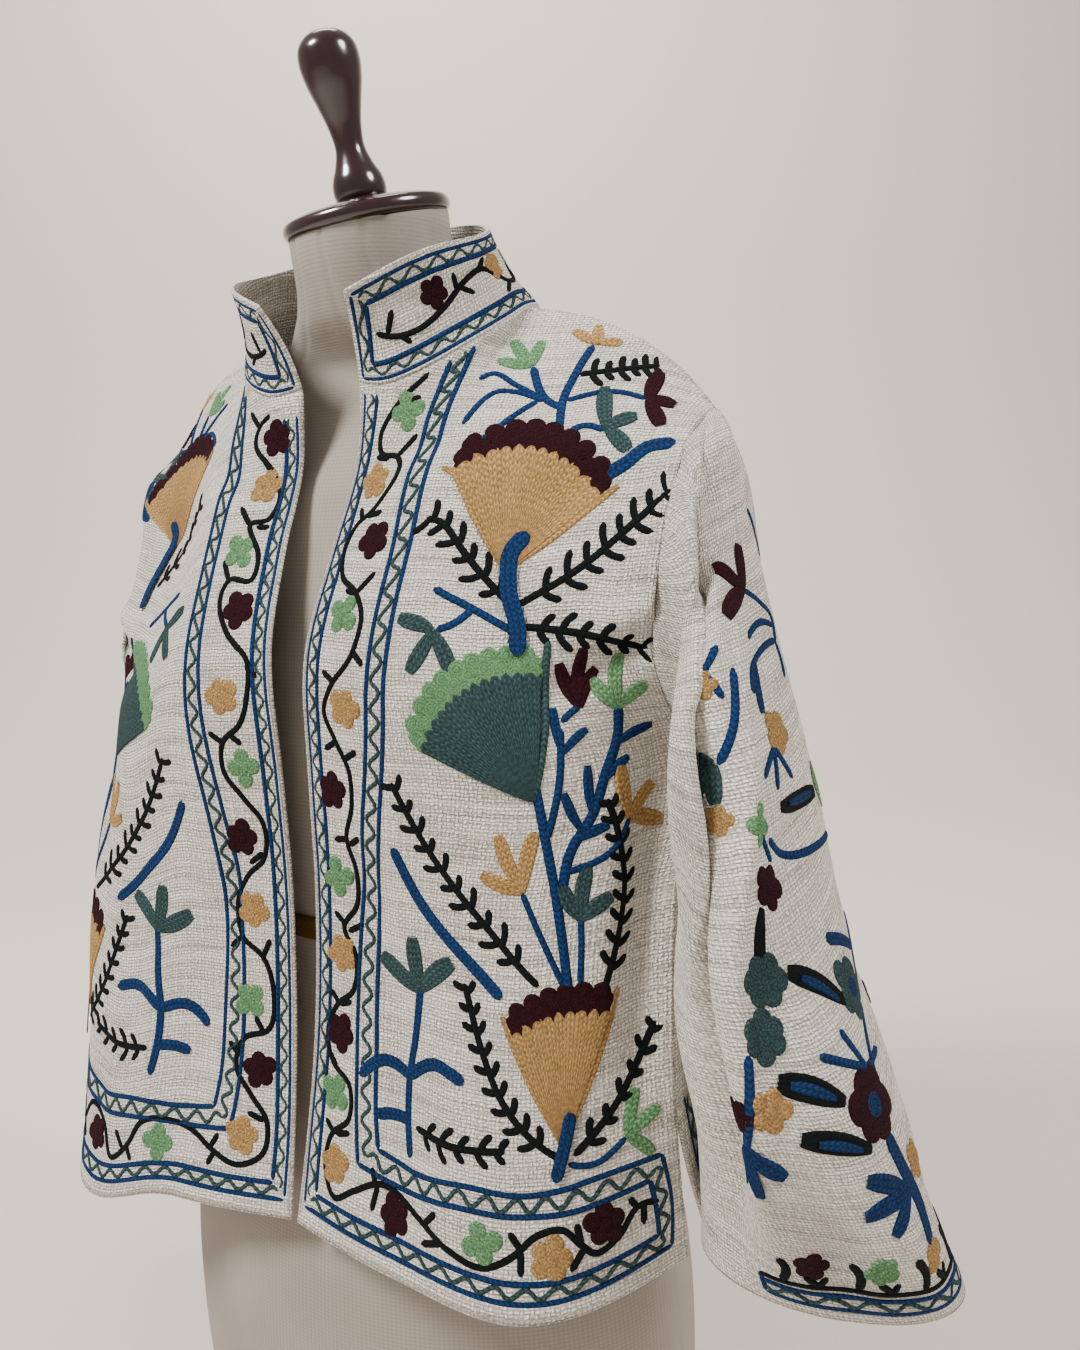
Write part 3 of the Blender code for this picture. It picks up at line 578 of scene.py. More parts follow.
class Panel:
    # one piece of cloth as a fine grid. Places on it are x across from its anchor column and y up
    # from its first row, in metres, as on the flat cut. A sleeve's first row is at the armhole
    def __init__(self, name, coarse, finerUp, finerAcross, closed=False, anchor=0.0, way=1.0):
        self.name, self.closed, self.anchor, self.way = name, closed, anchor, way
        self.grid = refine(coarse, finerUp, finerAcross, closed)
        self.measure()

    def measure(self):
        grid = self.grid
        self.normal = normalsOf(grid, self.closed)
        self.rows, self.cols = grid.shape[:2]
        around = np.concatenate([grid, grid[:, :1]], axis=1) if self.closed else grid
        across = np.linalg.norm(np.diff(around, axis=1), axis=2)
        up = np.linalg.norm(np.diff(grid, axis=0), axis=2).mean(axis=1)
        self.width = across.sum(axis=1)
        self.upTo = np.concatenate([[0.0], np.cumsum(up)])

    def at(self, x, y, lift, anchor, way):
        # points on the outer side of the cloth, raised by lift, and the normals there
        row = np.interp(y, self.upTo, np.arange(self.rows))
        share = anchor + way * x / np.interp(row, np.arange(self.rows), self.width)
        col = share * (self.cols if self.closed else self.cols - 1)
        row = np.clip(row, 0, self.rows - 1.001)
        i, s = np.floor(row).astype(int), (row % 1.0)[..., None]
        if not self.closed:
            col = np.clip(col, 0, self.cols - 1.001)
        j, t = np.floor(col).astype(int), (col % 1.0)[..., None]
        j, k = j % self.cols, (j + 1) % self.cols
        def read(field):
            return ((1 - s) * ((1 - t) * field[i, j] + t * field[i, k])
                    + s * ((1 - t) * field[i + 1, j] + t * field[i + 1, k]))
        normal = read(self.normal)
        normal /= np.linalg.norm(normal, axis=-1, keepdims=True)
        return read(self.grid) + normal * (lift + jacket["cloth"] / 2)[..., None], normal

    def crease(self, start, end, width, depth, bend):
        # a soft trough from start to end on the flat cut. A negative depth makes a ridge
        last = self.cols if self.closed else self.cols - 1
        xs = self.way * (np.arange(self.cols) / last - self.anchor)
        if self.closed:
            xs = (xs + 0.5) % 1.0 - 0.5
        x = xs[None, :] * self.width[:, None]
        y = np.broadcast_to(self.upTo[:, None], x.shape)
        start, end = np.array(start, float), np.array(end, float)
        along = end - start
        length = np.linalg.norm(along)
        along = along / length
        px, py = x - start[0], y - start[1]
        share = np.clip((px * along[0] + py * along[1]) / length, 0, 1)
        side = py * along[0] - px * along[1] - bend * np.sin(math.pi * share)
        over = (px * along[0] + py * along[1]) - share * length
        fade = np.sin(math.pi * np.clip(0.03 + share * 0.97, 0, 1))
        spread = width * (0.7 + 0.5 * share)
        push = depth * fade * np.exp(-(side / spread) ** 2 - (over / (0.5 * length)) ** 2)
        self.grid = self.grid - self.normal * push[:, :, None]

    def halfWall(self):
        # half the thickness, 0.5 mm more in the last 11 mm, where the edges are turned in and sewn down
        fromLow, fromTop = self.upTo, self.upTo[-1] - self.upTo
        across = np.zeros(self.cols) + 1.0
        if not self.closed:
            at = np.linspace(0, 1, self.cols) * self.width.mean()
            across = np.minimum(at, at[-1] - at)
        edge = np.minimum(np.minimum(fromLow, fromTop)[:, None], across[None, :])
        return jacket["cloth"] / 2 + 0.0005 * np.clip((0.011 - edge) / 0.003, 0, 1)

    def shell(self, materials):
        # a thin closed wall round the grid
        grid, normal, count = self.grid, self.normal, self.rows * self.cols
        half = self.halfWall()[..., None]
        faces = quads(self.rows, self.cols, self.closed)
        rims = [(a, count + a, count + b, b) for a, b in edgeRing(self.rows, self.cols, self.closed)]
        points = np.concatenate([(grid + way * normal * half).reshape(-1, 3) for way in (1, -1)])
        # the weft runs parallel to the hem or the cuff
        straight = np.arange(self.cols) / self.cols * self.width.mean()
        between = np.linalg.norm(np.diff(grid[::-1] if self.closed else grid, axis=0), axis=2)
        along = np.concatenate([np.zeros((1, self.cols)), np.cumsum(between, axis=0)])
        if self.closed:
            along = along[::-1]
        uv = np.stack(np.broadcast_arrays(straight[None, :], along), axis=2)
        allFaces = np.concatenate([faces, faces[:, ::-1] + count, np.array(rims)])
        uv = np.tile(uv.reshape(-1, 2), (2, 1))
        made = newMesh("cloth_" + self.name, points, allFaces, "cloth", uv, materials)
        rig.ride(made, "root")
        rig.replaces(made, self.name)
        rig.slot(made, "cloth_" + self.name)
        self.made = made
        return made


def buildPanels():
    front = frontGrid()
    back = backGrid(front)
    wholeBack = np.concatenate([back[:, ::-1], (back * mirror)[:, 1:]], axis=1)
    leftSleeve = sleeveGrid(front, back, 0.0)
    rightSleeve = (sleeveGrid(front, back, sleeveCut["rightPushedBack"]) * mirror)[:, ::-1]
    finer = jacket["finer"]
    body = (finer["up"], finer["across"])
    arm = (finer["sleeve"], finer["round"], True)
    # the coarse grid, how much finer it gets, if it is a tube, its anchor and which way x runs
    plan = {
        "front_left": (front, *body, False, 0.0, 1.0),
        "front_right": ((front * mirror)[:, ::-1], *body, False, 1.0, -1.0),
        "back": (wholeBack, *body, False, 0.5, -1.0),
        "sleeve_left": (leftSleeve, *arm, 0.5, -1.0),
        "sleeve_right": (rightSleeve, *arm, 0.5, 1.0),
        "collar": (collarGrid(front, back), finer["collar"], finer["round"], False, 0.0, 1.0),
    }
    return {name: Panel(name, settled(coarse), *rest) for name, (coarse, *rest) in plan.items()}


formShape = {
    # height, middle y, half width, half depth
    "sections": [
        (0.000, 0.000, 0.192, 0.136), (0.100, 0.000, 0.200, 0.140), (0.200, 0.000, 0.194, 0.134),
        (0.290, 0.000, 0.170, 0.118), (0.390, 0.000, 0.142, 0.098), (0.470, 0.000, 0.143, 0.095),
        (0.540, 0.000, 0.156, 0.094), (0.600, 0.002, 0.168, 0.088), (0.660, 0.009, 0.179, 0.076),
        (0.705, 0.013, 0.183, 0.063), (0.731, 0.016, 0.177, 0.050), (0.751, 0.017, 0.161, 0.042),
        (0.768, 0.0210, 0.142, 0.038), (0.779, 0.0210, 0.117, 0.038), (0.790, 0.0190, 0.091, 0.043),
        (0.805, 0.0155, 0.071, 0.051), (0.825, 0.007, 0.056, 0.051), (0.845, 0.003, 0.053, 0.053),
        (0.866, 0.000, 0.053, 0.053),
    ],
    "top": 0.866,
    # the share round where each seam of its cover runs: the sides, the front, the back and under the bust
    "seams": (0.0, 0.25, 0.5, 0.75, 0.665, 0.835),
    "neckSeam": 0.815,
    "tape": (0.412, 0.427),   # lower and upper edge of the waist tape
    # radius and height of the turned wood, above the neck
    "cap": [(0.0, 0.0), (0.0508, 0.0), (0.0540, 0.0012), (0.0552, 0.0036), (0.0552, 0.0066), (0.0540, 0.0094),
            (0.0508, 0.0112), (0.0400, 0.0138), (0.0200, 0.0168), (0.0, 0.0170)],
    "finial": [(0.0, 0.0), (0.0160, 0.0), (0.0172, 0.004), (0.0165, 0.012), (0.0125, 0.021), (0.0097, 0.030),
               (0.0105, 0.042), (0.0140, 0.056), (0.0180, 0.070), (0.0195, 0.081), (0.0180, 0.090),
               (0.0120, 0.0965), (0.0, 0.0985)],
}
neckTurn = Euler((math.radians(12.0), math.radians(-4.0), 0.0)).to_matrix()   # it leans back and to a side


def ovalRing(middleY, halfWidth, halfDepth, z, sides=144):
    turn = 2 * math.pi * np.arange(sides) / sides
    return np.stack([halfWidth * np.cos(turn), middleY + halfDepth * np.sin(turn), np.full(sides, z)], axis=1)


def tubeMesh(name, rings, materials, capEnds=True):
    # a closed body through rings, with uv in metres round and up
    rings = np.array(rings)
    rows, cols = rings.shape[:2]
    faces = [list(face) for face in quads(rows, cols, True)]
    if capEnds:
        faces += [list(range(cols))[::-1], list(range((rows - 1) * cols, rows * cols))]
    around = lengths(np.concatenate([rings[rows // 2], rings[rows // 2][:1]]))[:-1]
    up = np.concatenate([[0.0], np.cumsum(np.linalg.norm(np.diff(rings, axis=0), axis=2).mean(axis=1))])
    uv = np.stack(np.broadcast_arrays(around[None, :], up[:, None]), axis=2).reshape(-1, 2)
    return newMesh(name, rings.reshape(-1, 3), faces, "cloth", uv, materials)


def turnedMesh(name, profile, sides, materials, lift):
    radii = np.array(profile)
    fine = spline(lengths(radii), radii, np.linspace(0, lengths(radii)[-1], 90))
    fine[:, 0] = np.clip(fine[:, 0], 0.0002, None)
    turn = 2 * math.pi * np.arange(sides) / sides
    rings = np.array([[(r * math.cos(a), r * math.sin(a), z) for a in turn] for r, z in fine])
    made = tubeMesh(name, rings, materials)
    made.location = Vector((0, 0, formShape["top"])) + neckTurn @ Vector((0, 0, lift))
    made.rotation_euler = neckTurn.to_euler()
    return made


def buildForm():
    table = np.array(formShape["sections"])
    heights = np.linspace(0, formShape["top"], 180)
    rings = np.array([ovalRing(*row[1:], z) for z, row in zip(heights, spline(table[:, 0], table, heights))])
    turn = np.arange(144) / 144
    for seam in formShape["seams"]:
        away = np.abs((turn - seam + 0.5) % 1.0 - 0.5) * 144
        groove = 0.0010 * np.exp(-away ** 2 / 0.7)
        center = rings.mean(axis=1, keepdims=True)
        inward = center - rings
        inward[:, :, 2] = 0
        rings += inward / np.linalg.norm(inward, axis=2, keepdims=True) * groove[None, :, None]
    collarSeam = 0.0009 * np.exp(-((heights - formShape["neckSeam"]) / 0.0022) ** 2)
    inward = rings.mean(axis=1, keepdims=True) - rings
    rings += inward / np.linalg.norm(inward, axis=2, keepdims=True) * collarSeam[:, None, None]
    top = rings[-1] - np.array([0, 0, formShape["top"]])
    rings[-1] = top @ np.array(neckTurn).T + np.array([0, 0, formShape["top"]])
    torso = tubeMesh("form_cover", rings, [formCover(coverLook)])
    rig.replaces(torso, "form_torso")
    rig.slot(torso, "form_fabric")
    band = []
    for z in np.linspace(*formShape["tape"], 5):
        row = spline(table[:, 0], table, z)[0]
        band.append(ovalRing(row[1], row[2] + 0.0011, row[3] + 0.0011, z))
    inner = [ring * np.array([0.9925, 0.989, 1.0]) for ring in band]
    ring = band + inner[::-1] + band[:1]
    tape = tubeMesh("waist_tape", ring, [waistTape(tapeLook)], capEnds=False)
    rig.replaces(tape, "form_waist_band")
    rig.slot(tape, "waist_tape")
    wood = polishedWood(woodLook)
    neckCap = turnedMesh("neck_cap", formShape["cap"], 128, [wood], 0.0003)
    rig.replaces(neckCap, "form_neck_cap")
    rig.slot(neckCap, "cap_wood")
    finial = turnedMesh("finial", formShape["finial"], 96, [wood], 0.0176)
    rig.replaces(finial, "form_finial")
    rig.slot(finial, "finial_wood")
    for piece in (torso, tape, neckCap, finial):
        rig.ride(piece, "root")
    print("form built")


creases = {
    # start, end, width, depth and bend of each soft fold, placed by hand in metres on the flat cut.
    # A trough has a positive depth, a ridge a negative one
    "front": [
        ((0.232, 0.405), (0.150, 0.330), 0.012, 0.0070, 0.010),
        ((0.236, 0.430), (0.175, 0.372), 0.010, -0.0045, 0.006),
        ((0.215, 0.480), (0.120, 0.440), 0.015, 0.0030, 0.008),
        ((0.190, 0.520), (0.105, 0.505), 0.014, 0.0025, 0.006),
        ((0.234, 0.330), (0.222, 0.090), 0.012, 0.0080, -0.006),
        ((0.206, 0.320), (0.198, 0.100), 0.014, -0.0040, -0.006),
        ((0.258, 0.220), (0.266, 0.060), 0.010, 0.0035, 0.004),
        ((0.060, 0.200), (0.074, 0.000), 0.018, 0.0040, 0.006),
        ((0.108, 0.170), (0.118, 0.000), 0.018, -0.0035, 0.004),
        ((0.160, 0.120), (0.170, 0.000), 0.016, 0.0032, 0.004),
        ((0.095, 0.470), (0.026, 0.520), 0.014, 0.0030, 0.005),
        ((0.016, 0.270), (0.070, 0.150), 0.016, 0.0028, 0.004),
        ((0.150, 0.250), (0.110, 0.140), 0.020, 0.0024, 0.004),
    ],
    "sleeve": [
        ((-0.040, 0.012), (-0.054, 0.200), 0.013, 0.0135, 0.000),
        ((-0.044, 0.120), (-0.126, 0.397), 0.013, 0.0175, 0.010),
        ((0.004, 0.100), (-0.110, 0.397), 0.011, -0.0095, 0.012),
        ((-0.070, 0.010), (-0.080, 0.130), 0.014, -0.0050, 0.004),
        ((-0.090, 0.100), (-0.140, 0.330), 0.012, -0.0050, 0.006),
        ((0.006, 0.000), (-0.018, 0.075), 0.011, 0.0050, 0.006),
        ((0.034, 0.000), (0.024, 0.080), 0.012, -0.0030, 0.004),
        ((0.046, 0.170), (-0.020, 0.220), 0.013, 0.0045, 0.010),
        ((0.075, 0.245), (0.006, 0.300), 0.013, 0.0036, 0.006),
        ((0.105, 0.060), (0.085, 0.300), 0.016, 0.0060, 0.010),
        ((0.145, 0.060), (0.135, 0.330), 0.016, 0.0080, -0.008),
        ((0.165, 0.100), (0.178, 0.350), 0.013, -0.0045, 0.004),
        ((-0.060, 0.330), (-0.070, 0.410), 0.013, 0.0036, 0.002),
        ((-0.020, 0.330), (-0.024, 0.410), 0.013, -0.0032, 0.002),
        ((0.024, 0.330), (0.034, 0.410), 0.015, 0.0036, 0.002),
    ],
    "back": [
        ((0.060, 0.480), (0.150, 0.420), 0.018, 0.0030, 0.006),
        ((0.000, 0.420), (0.010, 0.120), 0.024, 0.0030, 0.006),
        ((0.130, 0.300), (0.150, 0.020), 0.022, 0.0040, 0.006),
        ((0.230, 0.300), (0.250, 0.020), 0.022, -0.0040, 0.006),
        ((0.300, 0.240), (0.310, 0.030), 0.020, 0.0040, 0.004),
    ],
}


def makeCreases(found):
    for kind in ("front", "sleeve"):
        for side in ("left", "right"):
            for fold in creases[kind]:
                found[kind + "_" + side].crease(*fold)
    for (startX, startY), (endX, endY), *rest in creases["back"]:
        for way in (1.0, -0.9):
            found["back"].crease((startX * way, startY), (endX * way, endY), *rest)
    print("creases laid")


# width, length and flat area of each cut in metres, and how it is held
cuts = {
    "front_left": dict(flat=(0.283, 0.605), area=0.132, held="hung", rests_on=["form_torso"]),
    "front_right": dict(flat=(0.279, 0.612), area=0.133, held="hung", rests_on=["form_torso"]),
    "back": dict(flat=(0.790, 0.609), area=0.345, held="hung", rests_on=["form_torso"]),
    "sleeve_left": dict(flat=(0.493, 0.519), area=0.153, held="hung"),
    "sleeve_right": dict(flat=(0.505, 0.550), area=0.173, held="hung"),
    "collar": dict(flat=(0.559, 0.065), area=0.0287, held="hung"),
}


def declareSheets(found):
    for name, cut in cuts.items():
        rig.sheet(found[name].made, **cut)
    print("cut of each cloth stated")


# All the embroidery is laid in chain stitch. Places are millimetres on the flat cut of a piece.
threadColors = {   # light and dark tone of each thread
    "blue": ("17427A", "04112A"), "dark": ("0D1616", "010303"), "maroon": ("3C0716", "0E0106"),
    "mustard": ("DDAF70", "7E5C30"), "green": ("86BA82", "386640"), "slate": ("44605F", "12252A"),
    "cream": ("EFE7DA", "A49A88"),
}
colorOrder = list(threadColors)


def smoothLine(points, step):
    points = np.asarray(points, float)
    if len(points) == 2:
        points = np.array([points[0], points.mean(axis=0), points[1]])
    count = max(3, int(lengths(points)[-1] / step) + 2)
    return spline(lengths(points), points, np.linspace(0, lengths(points)[-1], count))


def turned(vector, degrees):
    a = math.radians(degrees)
    x, y = vector
    return np.array([x * math.cos(a) - y * math.sin(a), x * math.sin(a) + y * math.cos(a)])


class Stitching:
    def __init__(self, panel, anchor=None, way=None):
        self.panel = panel
        self.anchor = panel.anchor if anchor is None else anchor
        self.way = panel.way if way is None else way
        self.move = (0.0, 0.0)
        self.flip = 1.0
        self.points, self.faces, self.uv, self.colors, self.count = [], [], [], [], 0

    def spot(self, place, lift=0.0):
        # points on the cloth, and its normals there, for flat places
        x, y = place[..., 0] * self.flip + self.move[0], place[..., 1] + self.move[1]
        return self.panel.at(x / 1000, y / 1000, np.broadcast_to(lift, x.shape) / 1000, self.anchor, self.way)

    def add(self, points, normal, along, across, color, closed=False):
        # points is a grid in space; along is in millimetres and across in rows of stitches
        shape = points.shape[:2]
        faces = quads(*shape, closed) + self.count
        facing = np.cross(np.gradient(points, axis=1), np.gradient(points, axis=0))
        if (facing * normal).sum() < 0:
            faces = faces[:, ::-1]
        self.points.append(points.reshape(-1, 3))
        self.faces.append(faces)
        u, v = np.broadcast_arrays(along, across)
        self.uv.append(np.stack([u / 1000, v], axis=-1).reshape(-1, 2))
        self.colors.append(np.full(len(faces), colorOrder.index(color)))
        self.count += shape[0] * shape[1]

    def line(self, points, color, width=3.4, rows=1, lift=0.0, shape=None):
        # a ribbon of stitches of even width, or with the share of its width along it given by shape
        line = smoothLine(points, 2.2)
        place, normal = self.spot(line)
        way = np.gradient(place, axis=0)
        side = np.cross(normal, way)
        side /= np.linalg.norm(side, axis=1, keepdims=True)
        across = np.linspace(-1, 1, 5 if rows == 1 else 4 * rows + 1)
        along = lengths(place) * 1000
        fromEnd = np.minimum(along, along[-1] - along)
        if shape is None:
            half = width / 2 * np.sqrt(np.clip(0.16 + fromEnd / (0.5 * width), 0, 1))
        else:
            half = width / 2 * np.interp(along / along[-1], np.linspace(0, 1, len(shape)), shape)
        dome = 0.8 * np.sqrt(np.clip(1 - np.abs(across) ** (2 + rows), 0, 1))
        rise = dome * np.clip(half / 1.2, 0.3, 1)[:, None] + lift
        grid = (place[:, None] + side[:, None] * (across[None, :, None] * half[:, None, None] / 1000)
                + normal[:, None] * rise[..., None] / 1000)
        self.add(grid, normal[:, None], along[:, None], (across + 1)[None, :] / 2 * rows, color)

    def evened(self, edge):
        # the outline without the shear and stretch that the cloth has around its middle
        center = edge.mean(axis=0)
        cross, _ = self.spot(center + np.array([(-1.0, 0), (1.0, 0), (0, -1.0), (0, 1.0)]))
        basis = np.stack([cross[1] - cross[0], cross[3] - cross[2]], axis=1) * 500
        value, vector = np.linalg.eigh(basis.T @ basis)
        value = np.clip(value, 0.25, 4.0)
        return center + (edge - center) @ (vector @ np.diag(1 / np.sqrt(value)) @ vector.T)

    def fill(self, outline, color, core, rows=3, lift=0.0):
        # rows of stitches round the outline, one inside the other, in to the core
        closed = np.vstack([outline, outline[:1]])
        edge = self.evened(smoothLine(closed, 2.6)[:-1])
        a, b = np.array(core[0], float), np.array(core[1], float)
        axis = b - a
        share = np.clip((edge - a) @ axis / max(axis @ axis, 1e-9), 0, 1)
        middle = a + share[:, None] * axis
        inward = np.linspace(0, 0.96, 2 * rows + 1)
        place = edge[None] + (middle - edge)[None] * inward[:, None, None]
        rise = 0.9 * np.sqrt(np.clip(1 - (1 - np.clip(inward * rows * 1.4, 0, 1)) ** 2, 0, 1))
        points, normal = self.spot(place, rise[:, None] + lift)
        self.add(points, normal, lengths(edge)[None, :], inward[:, None] * rows, color, closed=True)

    def disc(self, center, radius, color, lift=0.0):
        turn = np.linspace(0, 2 * math.pi, 10, endpoint=False)
        center = np.array(center, float)
        outline = center + radius * np.stack([np.cos(turn), np.sin(turn)], axis=1)
        self.fill(outline, color, (center, center), max(1, round(radius / 2.3)), lift)

    def petal(self, base, tip, width, color, lift=0.0):
        base, tip = np.array(base, float), np.array(tip, float)
        side = turned(tip - base, 90) * 0.04
        rows = max(2, round(width / 3.2))
        shape = (0.45, 0.74, 0.92, 1.0, 1.0, 0.92, 0.62)
        self.line([base, (base + tip) / 2 + side, tip], color, width, rows, lift, shape)

    def tulip(self, base, tips, width, color):
        for tip in tips:
            self.petal(base, tip, width, color)

    def flower(self, center, size, color, petals=5, turn=20.0, eye=None):
        center = np.array(center, float)
        for k in range(petals):
            out = turned((1.0, 0.0), turn + 360 * k / petals)
            uneven = 1.0 + 0.13 * math.sin(2.3 * k + turn)
            ends = self.evened(np.array([center + out, center - out]))
            self.disc(center + (ends[0] - center) * size * 0.56 * uneven, size * 0.45, color, 0.05 * k)
        self.disc(center, size * 0.36, eye or color, 0.35)

    def sprig(self, stem, leaf=9.0, spacing=9.5):
        # a dark stem with short leaves in pairs
        color, width, lean, start = "dark", 4.4, 50.0, 0.13
        self.line(stem, color, width)
        line = smoothLine(stem, 1.0)
        along = lengths(line)
        way = np.gradient(line, axis=0)
        count = max(2, int(along[-1] * (1 - start) / (spacing * 1.22)))
        for k in range(count + 1):
            at = along[-1] * (start + (1 - start) * k / (count + 0.35))
            i = min(np.searchsorted(along, at), len(line) - 1)
            ahead = way[i] / np.linalg.norm(way[i])
            long = leaf * 1.12 * (1.0 - 0.22 * k / count) * (1 + 0.15 * math.sin(3.1 * k + leaf))
            for sign in (-1, 1):
                root = line[i] + ahead * (1.2 if sign > 0 else -1.2)
                mid = root + turned(ahead, sign * (lean + 12)) * long * 0.5
                tip = mid + turned(ahead, sign * (lean - 10)) * long * 0.55
                self.line([root, mid, tip], color, width)

    def fan(self, apex, left, right, bow, body, rim, scallops, radius, rows, arms=True):
        # a half-open flower: rows spread from the apex, with a rim of round lobes behind them
        apex, left, right = (np.array(p, float) for p in (apex, left, right))
        s = np.linspace(0, 1, 3 * rows + 1)
        middle = (left + right) / 2
        out = (middle - apex) / np.linalg.norm(middle - apex)
        edge = left + (right - left) * s[:, None] + out * (bow * 4 * s * (1 - s))[:, None]
        short = apex + (edge - apex) * 0.86
        for row, lift in ((1.5, 0.0), (0.75, 0.1), (0.0, 0.2)):
            for k in range(scallops + 1 if row == 0.75 else scallops):
                at = np.clip((k + (0.0 if row == 0.75 else 0.5)) / scallops, 0.04, 0.96)
                place = np.array([np.interp(at, s, short[:, 0]), np.interp(at, s, short[:, 1])])
                self.disc(place + out * radius * (row - 0.1), radius * 0.78, rim, lift)
        lobes = np.abs(np.sin(math.pi * scallops * 1.5 * s)) ** 0.6
        tip = short + (edge - apex) / np.linalg.norm(edge - apex, axis=1)[:, None] * (4.0 * lobes)[:, None]
        t = np.linspace(0.04, 1, 15)
        place = apex + (tip - apex)[None] * t[:, None, None]
        rise = 0.75 + 0.5 * np.sqrt(np.clip(1 - np.abs(2 * t - 1) ** 6, 0, 1))[:, None] * np.ones(len(s))
        rise[:, 0] = rise[:, -1] = rise[-1] = 0.1
        points, normal = self.spot(place, rise + 0.25)
        self.add(points, normal, (t * np.linalg.norm(middle - apex))[:, None], s[None, :] * rows, body)
        if arms:
            for far in (left, right):
                arm = [apex + (far - apex) * share for share in (0.06, 0.5, 1.0)]
                self.line(arm, body, 6.0, 2, 0.3, (0.2, 0.6, 0.9, 1.0, 1.0, 0.9, 0.5))

    def zigzag(self, path, color="slate", height=3.0, period=17.0, width=2.8):
        line = smoothLine(path, 0.8)
        along = lengths(line)
        waves = max(1, round(along[-1] / period))
        at = np.linspace(0, along[-1], waves * 8 + 1)
        base = np.stack([np.interp(at, along, line[:, k]) for k in (0, 1)], axis=1)
        way = np.gradient(base, axis=0)
        way /= np.linalg.norm(way, axis=1, keepdims=True)
        side = np.stack([-way[:, 1], way[:, 0]], axis=1)
        swing = np.sin(np.arange(len(at)) * math.pi / 4) * height
        self.line(base + side * swing[:, None], color, width)

    def band(self, outer, inner):
        # a border: two blue lines with a wave between them
        self.line(outer, "blue")
        self.line(inner, "blue")
        a, b = smoothLine(outer, 4.0), smoothLine(inner, 4.0)
        s = np.linspace(0, 1, 40)
        first, second = (np.array([np.interp(s, lengths(c) / lengths(c)[-1], c[:, k]) for k in (0, 1)]).T
                         for c in (a, b))
        apart = np.linalg.norm(first - second, axis=1).mean()
        self.zigzag((first + second) / 2, height=apart * 0.22)

    def finish(self, name):
        laid = (self.points, self.faces, self.uv, self.colors)
        points, faces, uv, colors = (np.concatenate(part) for part in laid)
        used = [threads[key] for key in colorOrder]
        made = newMesh("stitching_" + name, points, faces, "stitch", uv, used, colors)
        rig.ride(made, "root")
        return made


